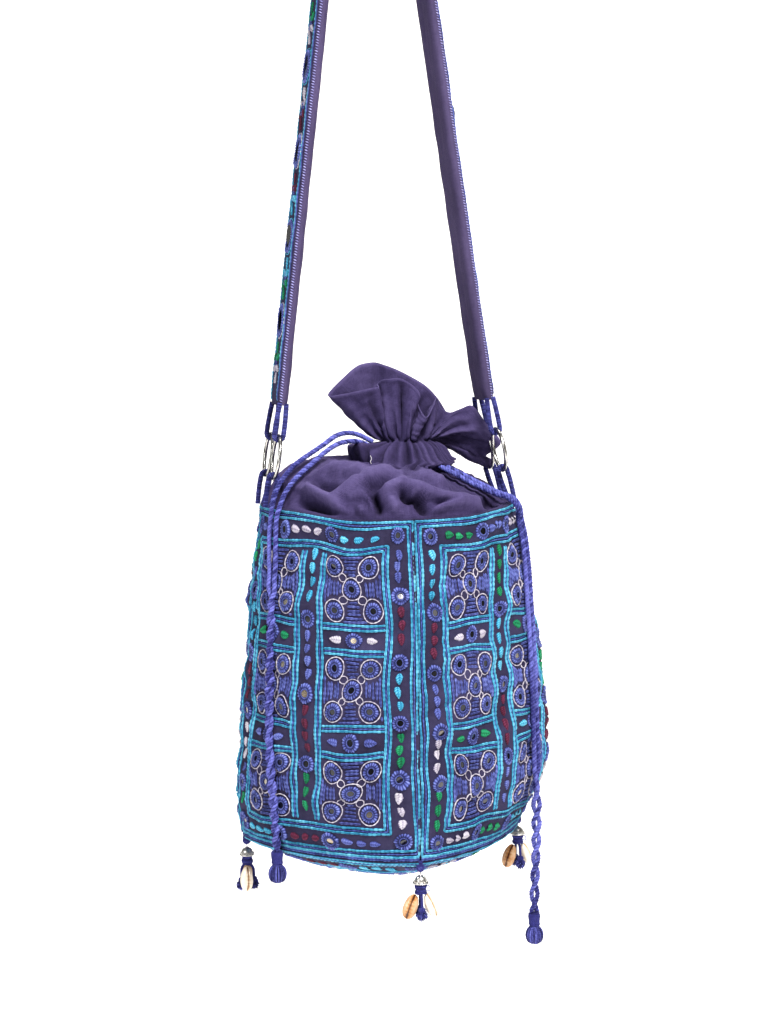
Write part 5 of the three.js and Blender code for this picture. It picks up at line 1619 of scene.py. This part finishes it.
PIVOT_Z = -754.0
CORNERS = [("front", -4.2, -107.8, 0), ("right", 94.9, 0.0, 12), ("back", -0.2, 107.0, 40), ("left", -107.2, 0.0, 78)]
for ci, (corner, cx, cy, turn) in enumerate(CORNERS):
    g = Geo()
    knot_ball(g, (cx, cy, PIVOT_Z + 3.2), 3.0, 0, seed=600 + ci, turns=9)
    for w in range(5):
        a = np.linspace(0, 2 * math.pi, 25)[:-1]
        rad = 2.25 + 0.15 * math.sin(w * 2.0)
        C = np.stack([cx + rad * np.cos(a), cy + rad * np.sin(a), PIVOT_Z + 4.8 + 0.85 * w + 0.2 * np.sin(a + w)], -1)
        tube(g, C, 0.56, 0, 6, 0.42 + 0.1 * math.sin(w * 3.0), closed=True)
    inn = -unit(np.array([cx, cy, 0.0]))
    tube(g, catmull(np.array([[cx, cy, PIVOT_Z + 3.5], [cx, cy, PIVOT_Z + 6.5] + inn * 0.8, [cx, cy, PIVOT_Z + 9.5] + inn * 2.2]), 12), 1.15, 0, 8, 0.45)
    o = g.make(f"tassel_{corner}_knot_thread", [M_CORD], "bag")
    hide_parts(f"tassel_{corner}_knot")
    base_m = at(cx, cy, PIVOT_Z, rz=turn * RAD)
    body = f"tassel_{corner}"

    def local(p):
        return base_m[:3, :3] @ np.asarray(p, float) + base_m[:3, 3]

    # the silver cap: a beaded dome on a flange, with a short wire stem on top
    g = Geo()
    prof = [(0.0, 0.15), (0.42, 0.1), (0.45, -0.5), (0.45, -1.7), (1.35, -1.9), (1.5, -2.3), (2.0, -2.5), (2.7, -2.95), (3.3, -3.6), (3.75, -4.4), (3.95, -5.2), (4.05, -5.7),
            (3.7, -5.95), (4.25, -6.15), (4.3, -6.45), (5.0, -6.6), (5.4, -6.85), (5.45, -7.2), (5.2, -7.55), (3.0, -7.6), (0.0, -7.6)]
    lathe(g, prof, 48, 0, base_m, tone=0.5)
    for q in range(16):                    # beads round the flange
        a = q * 2 * math.pi / 16
        p = [(0.62 * math.sin(w), 0.62 * math.cos(w)) for w in np.linspace(0.0, math.pi, 7)]
        c = local((4.6 * math.cos(a), 4.6 * math.sin(a), -6.15))
        lathe(g, p, 8, 0, at(*c))
    for q in range(10):                    # raised ribs on the dome
        a = q * 2 * math.pi / 10
        pts = [local(((rr_ + 0.1) * math.cos(a), (rr_ + 0.1) * math.sin(a), zz)) for rr_, zz in ((2.0, -2.6), (3.3, -3.7), (3.9, -5.0), (4.0, -5.7))]
        tube(g, catmull(np.array(pts), 10), 0.22, 0, 5, 0.6)
    o = g.make(f"{body}_cap_silver", [M_SILVER], body)
    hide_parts(f"{body}_cap")

    # the violet binding under it
    g = Geo()
    for w in np.arange(0, 7):
        z = -8.15 - w * 0.92
        rad = 3.35 + 0.35 * math.sin(w * 1.3 + ci)
        a = np.linspace(0, 2 * math.pi, 33)[:-1]
        C = np.array([local((rad * math.cos(q), rad * math.sin(q), z - 0.4 * q / 6.28 + 0.25 * math.sin(3 * q + w))) for q in a])
        tube(g, C, 0.62, 0, 7, 0.45 + 0.1 * math.sin(w * 2.1), closed=True)
    lathe(g, [(0.0, -7.95), (3.1, -7.95), (3.3, -9.5), (3.3, -13.6), (2.6, -14.4), (0.0, -14.4)], 20, 0, base_m, tone=0.3)
    # a thread that has worked loose
    tube(g, catmull(np.array([local(q) for q in ((3.6, -1.0, -12.0), (5.6, -1.6, -12.6), (6.3, -0.6, -10.4), (4.8, 0.8, -9.4), (3.7, 0.6, -10.6))]), 26), 0.3, 0, 6, 0.8)
    o = g.make(f"{body}_band_thread", [M_CORD], body)
    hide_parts(f"{body}_band")

    for li, (letter, s) in enumerate((("a", -1), ("b", 1))):
        g = Geo()
        from mathutils import Euler
        inner = at(s * 7.3, 0, -23.1, ry=-s * 22 * RAD)
        m_ = base_m @ inner @ at(0, 0, 0, rz=(0.0 if s > 0 else math.pi) - s * 1.1 * (1 if ci % 2 == 0 else 0.6))
        flip = (ci == 0 and letter == "a") or (ci == 1 and letter == "a") or (ci == 3 and letter == "b") or (ci == 2 and letter == "b")
        cowrie(g, m_, 0, seed=700 + ci * 2 + li, a=4.9, b=4.6, c=8.8)
        o = g.make(f"{body}_shell_{letter}_cowrie", [M_AMBER if flip else M_SHELL], body)
        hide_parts(f"{body}_shell_{letter}")
        # thread through the shell's end, and the little tassel balls
        g = Geo()
        px_, py_, pz_ = s * 0.4, s * 4.5, (-19.4 if s > 0 else -18.6)
        tube(g, catmull(np.array([local(q) for q in ((px_ * 0.3, py_ * 0.35, -13.6), (px_, py_ * 0.9, -17.0), (px_, py_, pz_ - 5.0))]), 14), 1.0, 0, 8, 0.45)
        lathe(g, [(0.6, pz_ - 4.2), (2.2, pz_ - 5.2), (2.6, pz_ - 6.4), (2.0, pz_ - 7.6)], 20, 0, base_m @ at(px_, py_, 0), tone=0.45, ribs=9, depth=0.15)
        pompom(g, local((px_, py_, pz_ - 9.6)), 3.9, 0, seed=800 + ci * 2 + li)
        o = g.make(f"{body}_pompom_{letter}_thread", [M_CORD], body)
        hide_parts(f"{body}_pompom_{letter}")

# ------------------------------------------------------------------ bindings and tassels under the drawstrings
for side, x, y, z in (("left", -93.4, -52.6, -746.2), ("right", 86.9, -67.7, -800.85)):
    g = Geo()
    m_ = at(x, y, z)
    lathe(g, [(0.0, 0.0), (3.2, -0.05), (3.6, -0.8), (3.7, -8.4), (3.3, -9.5), (0.0, -9.5)], 24, 0, m_, tone=0.35)
    a = np.linspace(0, 2 * math.pi * 8, 8 * 22)
    C = np.stack([x + (3.55 + 0.2 * np.sin(a / 8)) * np.cos(a), y + (3.55 + 0.2 * np.sin(a / 8)) * np.sin(a), z - 0.7 - (a / a[-1]) * 8.0], -1)
    tube(g, C, 0.62, 0, 7, 0.5)
    ob = g.make(f"drawstring_{side}_binding_thread", [M_CORD], "bag")
    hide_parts(f"drawstring_{side}_binding")
    g = Geo()
    prof = [(0.0, -9.8), (2.9, -9.9), (3.6, -10.6), (5.0, -12.2), (5.9, -14.4), (6.1, -16.4), (5.7, -19.0), (4.6, -21.2), (2.4, -22.3), (0.0, -22.5)]
    lathe(g, prof, 72, 0, m_, tone=0.42, ribs=24, depth=0.10)
    rr = np.random.default_rng(61 if side == "left" else 62)
    for k in range(150):                   # threads lying down the ball
        a0 = rr.uniform(0, 2 * math.pi)
        sw = rr.uniform(-0.12, 0.12)
        zz = np.linspace(-10.4, rr.uniform(-22.4, -20.5), 8)
        rad = np.interp(-zz, [-q[1] for q in prof], [q[0] for q in prof]) + 0.12
        aa = a0 + sw * np.linspace(0, 1, 8)
        P = np.stack([x + rad * np.cos(aa), y + rad * np.sin(aa), z + zz], -1)
        tube(g, P, 0.30, 0, 5, float(np.clip(0.5 + 0.25 * rr.normal(), 0.05, 0.95)), caps=False)
    for w in range(3):                     # its neck, tied round
        a = np.linspace(0, 2 * math.pi, 29)[:-1]
        C = np.stack([x + 3.2 * np.cos(a), y + 3.2 * np.sin(a), z - 9.9 - 0.75 * w + 0.1 * np.sin(2 * a)], -1)
        tube(g, C, 0.5, 0, 6, 0.6, closed=True)
    ot = g.make(f"drawstring_{side}_tassel_thread", [M_CORD], "bag")
    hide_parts(f"drawstring_{side}_tassel")


# ------------------------------------------------------------------ floor, backdrop and light
def plain_mat(name, color, rough=0.9, glow=0.42):
    M = Mat(name)
    n = M.noise(3.0, 2.0, 0.5)
    col = M.ramp(n, [(0.2, color), (0.8, tuple(min(1.0, c * 1.02) for c in color[:3]) + (1.0,))])
    M.set(color=col, rough=rough, spec=0.1)
    M.bsdf.inputs["Emission Color"].default_value = (1.0, 0.985, 0.965, 1.0)
    M.bsdf.inputs["Emission Strength"].default_value = glow
    return M.mat


def turned(name, prof, mat):
    """A surface of revolution about the upright axis, for the floor and the backdrop."""
    n = 96
    a = np.arange(n) * 2 * math.pi / n
    P = np.array([[[r * math.cos(q), r * math.sin(q), z] for q in a] for r, z in prof])
    V = P.reshape(-1, 3) * MM
    F = [[i * n + j, i * n + (j + 1) % n, (i + 1) * n + (j + 1) % n, (i + 1) * n + j] for i in range(len(prof) - 1) for j in range(n)]
    me = bpy.data.meshes.new(name)
    me.from_pydata([tuple(v) for v in V], [], F)
    for pl in me.polygons:
        pl.use_smooth = True
    me.materials.append(mat)
    o = bpy.data.objects.new(name, me)
    bpy.context.collection.objects.link(o)
    return o


def studio():
    z0 = cad_lo[2] / MM - 280.0
    paper = plain_mat("studio_paper", rgb(240, 238, 236))
    turned("floor", [(0.5, z0), (500.0, z0), (1200.0, z0), (2000.0, z0), (2600.0, z0)], paper)
    wall_ = turned("backdrop", [(2600.0, z0)] + [(2600 + 800 * math.sin(q), z0 + 800 - 800 * math.cos(q)) for q in np.linspace(0, math.pi / 2, 16)[1:]] + [(3400.0, z0 + 5200.0)],
                   plain_mat("studio_wall", rgb(240, 238, 236), glow=0.62))
    # the wall is only a ground to look at: the sky light passes it
    wall_.visible_diffuse = False
    wall_.visible_glossy = False
    wall_.visible_shadow = False
    world = bpy.data.worlds.new("studio")
    bpy.context.scene.world = world
    world.use_nodes = True
    bg = world.node_tree.nodes["Background"]
    bg.inputs[0].default_value = (1.0, 0.995, 0.985, 1)
    bg.inputs[1].default_value = 0.24
    centre = Vector((0, 0, -0.5))

    def area(name, loc, size, power, color=(1, 1, 1)):
        d = bpy.data.lights.new(name, "AREA")
        d.shape = "RECTANGLE"
        d.size, d.size_y = size
        d.energy = power
        d.color = color
        L = bpy.data.objects.new(name, d)
        L.location = loc
        L.rotation_mode = "QUATERNION"
        L.rotation_quaternion = (centre - Vector(loc)).to_track_quat("-Z", "Y")
        bpy.context.collection.objects.link(L)

    area("key", (0.25, -1.45, 1.20), (0.55, 0.6), 84.0, (1.0, 0.985, 0.96))
    area("fill", (-2.1, -1.3, 0.15), (1.2, 1.4), 22.0, (0.96, 0.98, 1.0))
    area("top", (0.2, 0.9, 1.3), (1.2, 1.2), 34.0)


studio()
bpy.context.scene.view_settings.view_transform = "Standard"
for look in ("Medium High Contrast", "High Contrast"):
    try:
        bpy.context.scene.view_settings.look = look
        break
    except TypeError:
        pass

for c in ("drawstring_left_a", "drawstring_left_b", "drawstring_right_a", "drawstring_right_b"):
    P = CORD_PATHS[c]
    L = np.linalg.norm(np.diff(P, axis=0), axis=1).sum() * MM
    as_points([tuple(q * MM) for q in P[::4]] + [tuple(P[-1] * MM)])
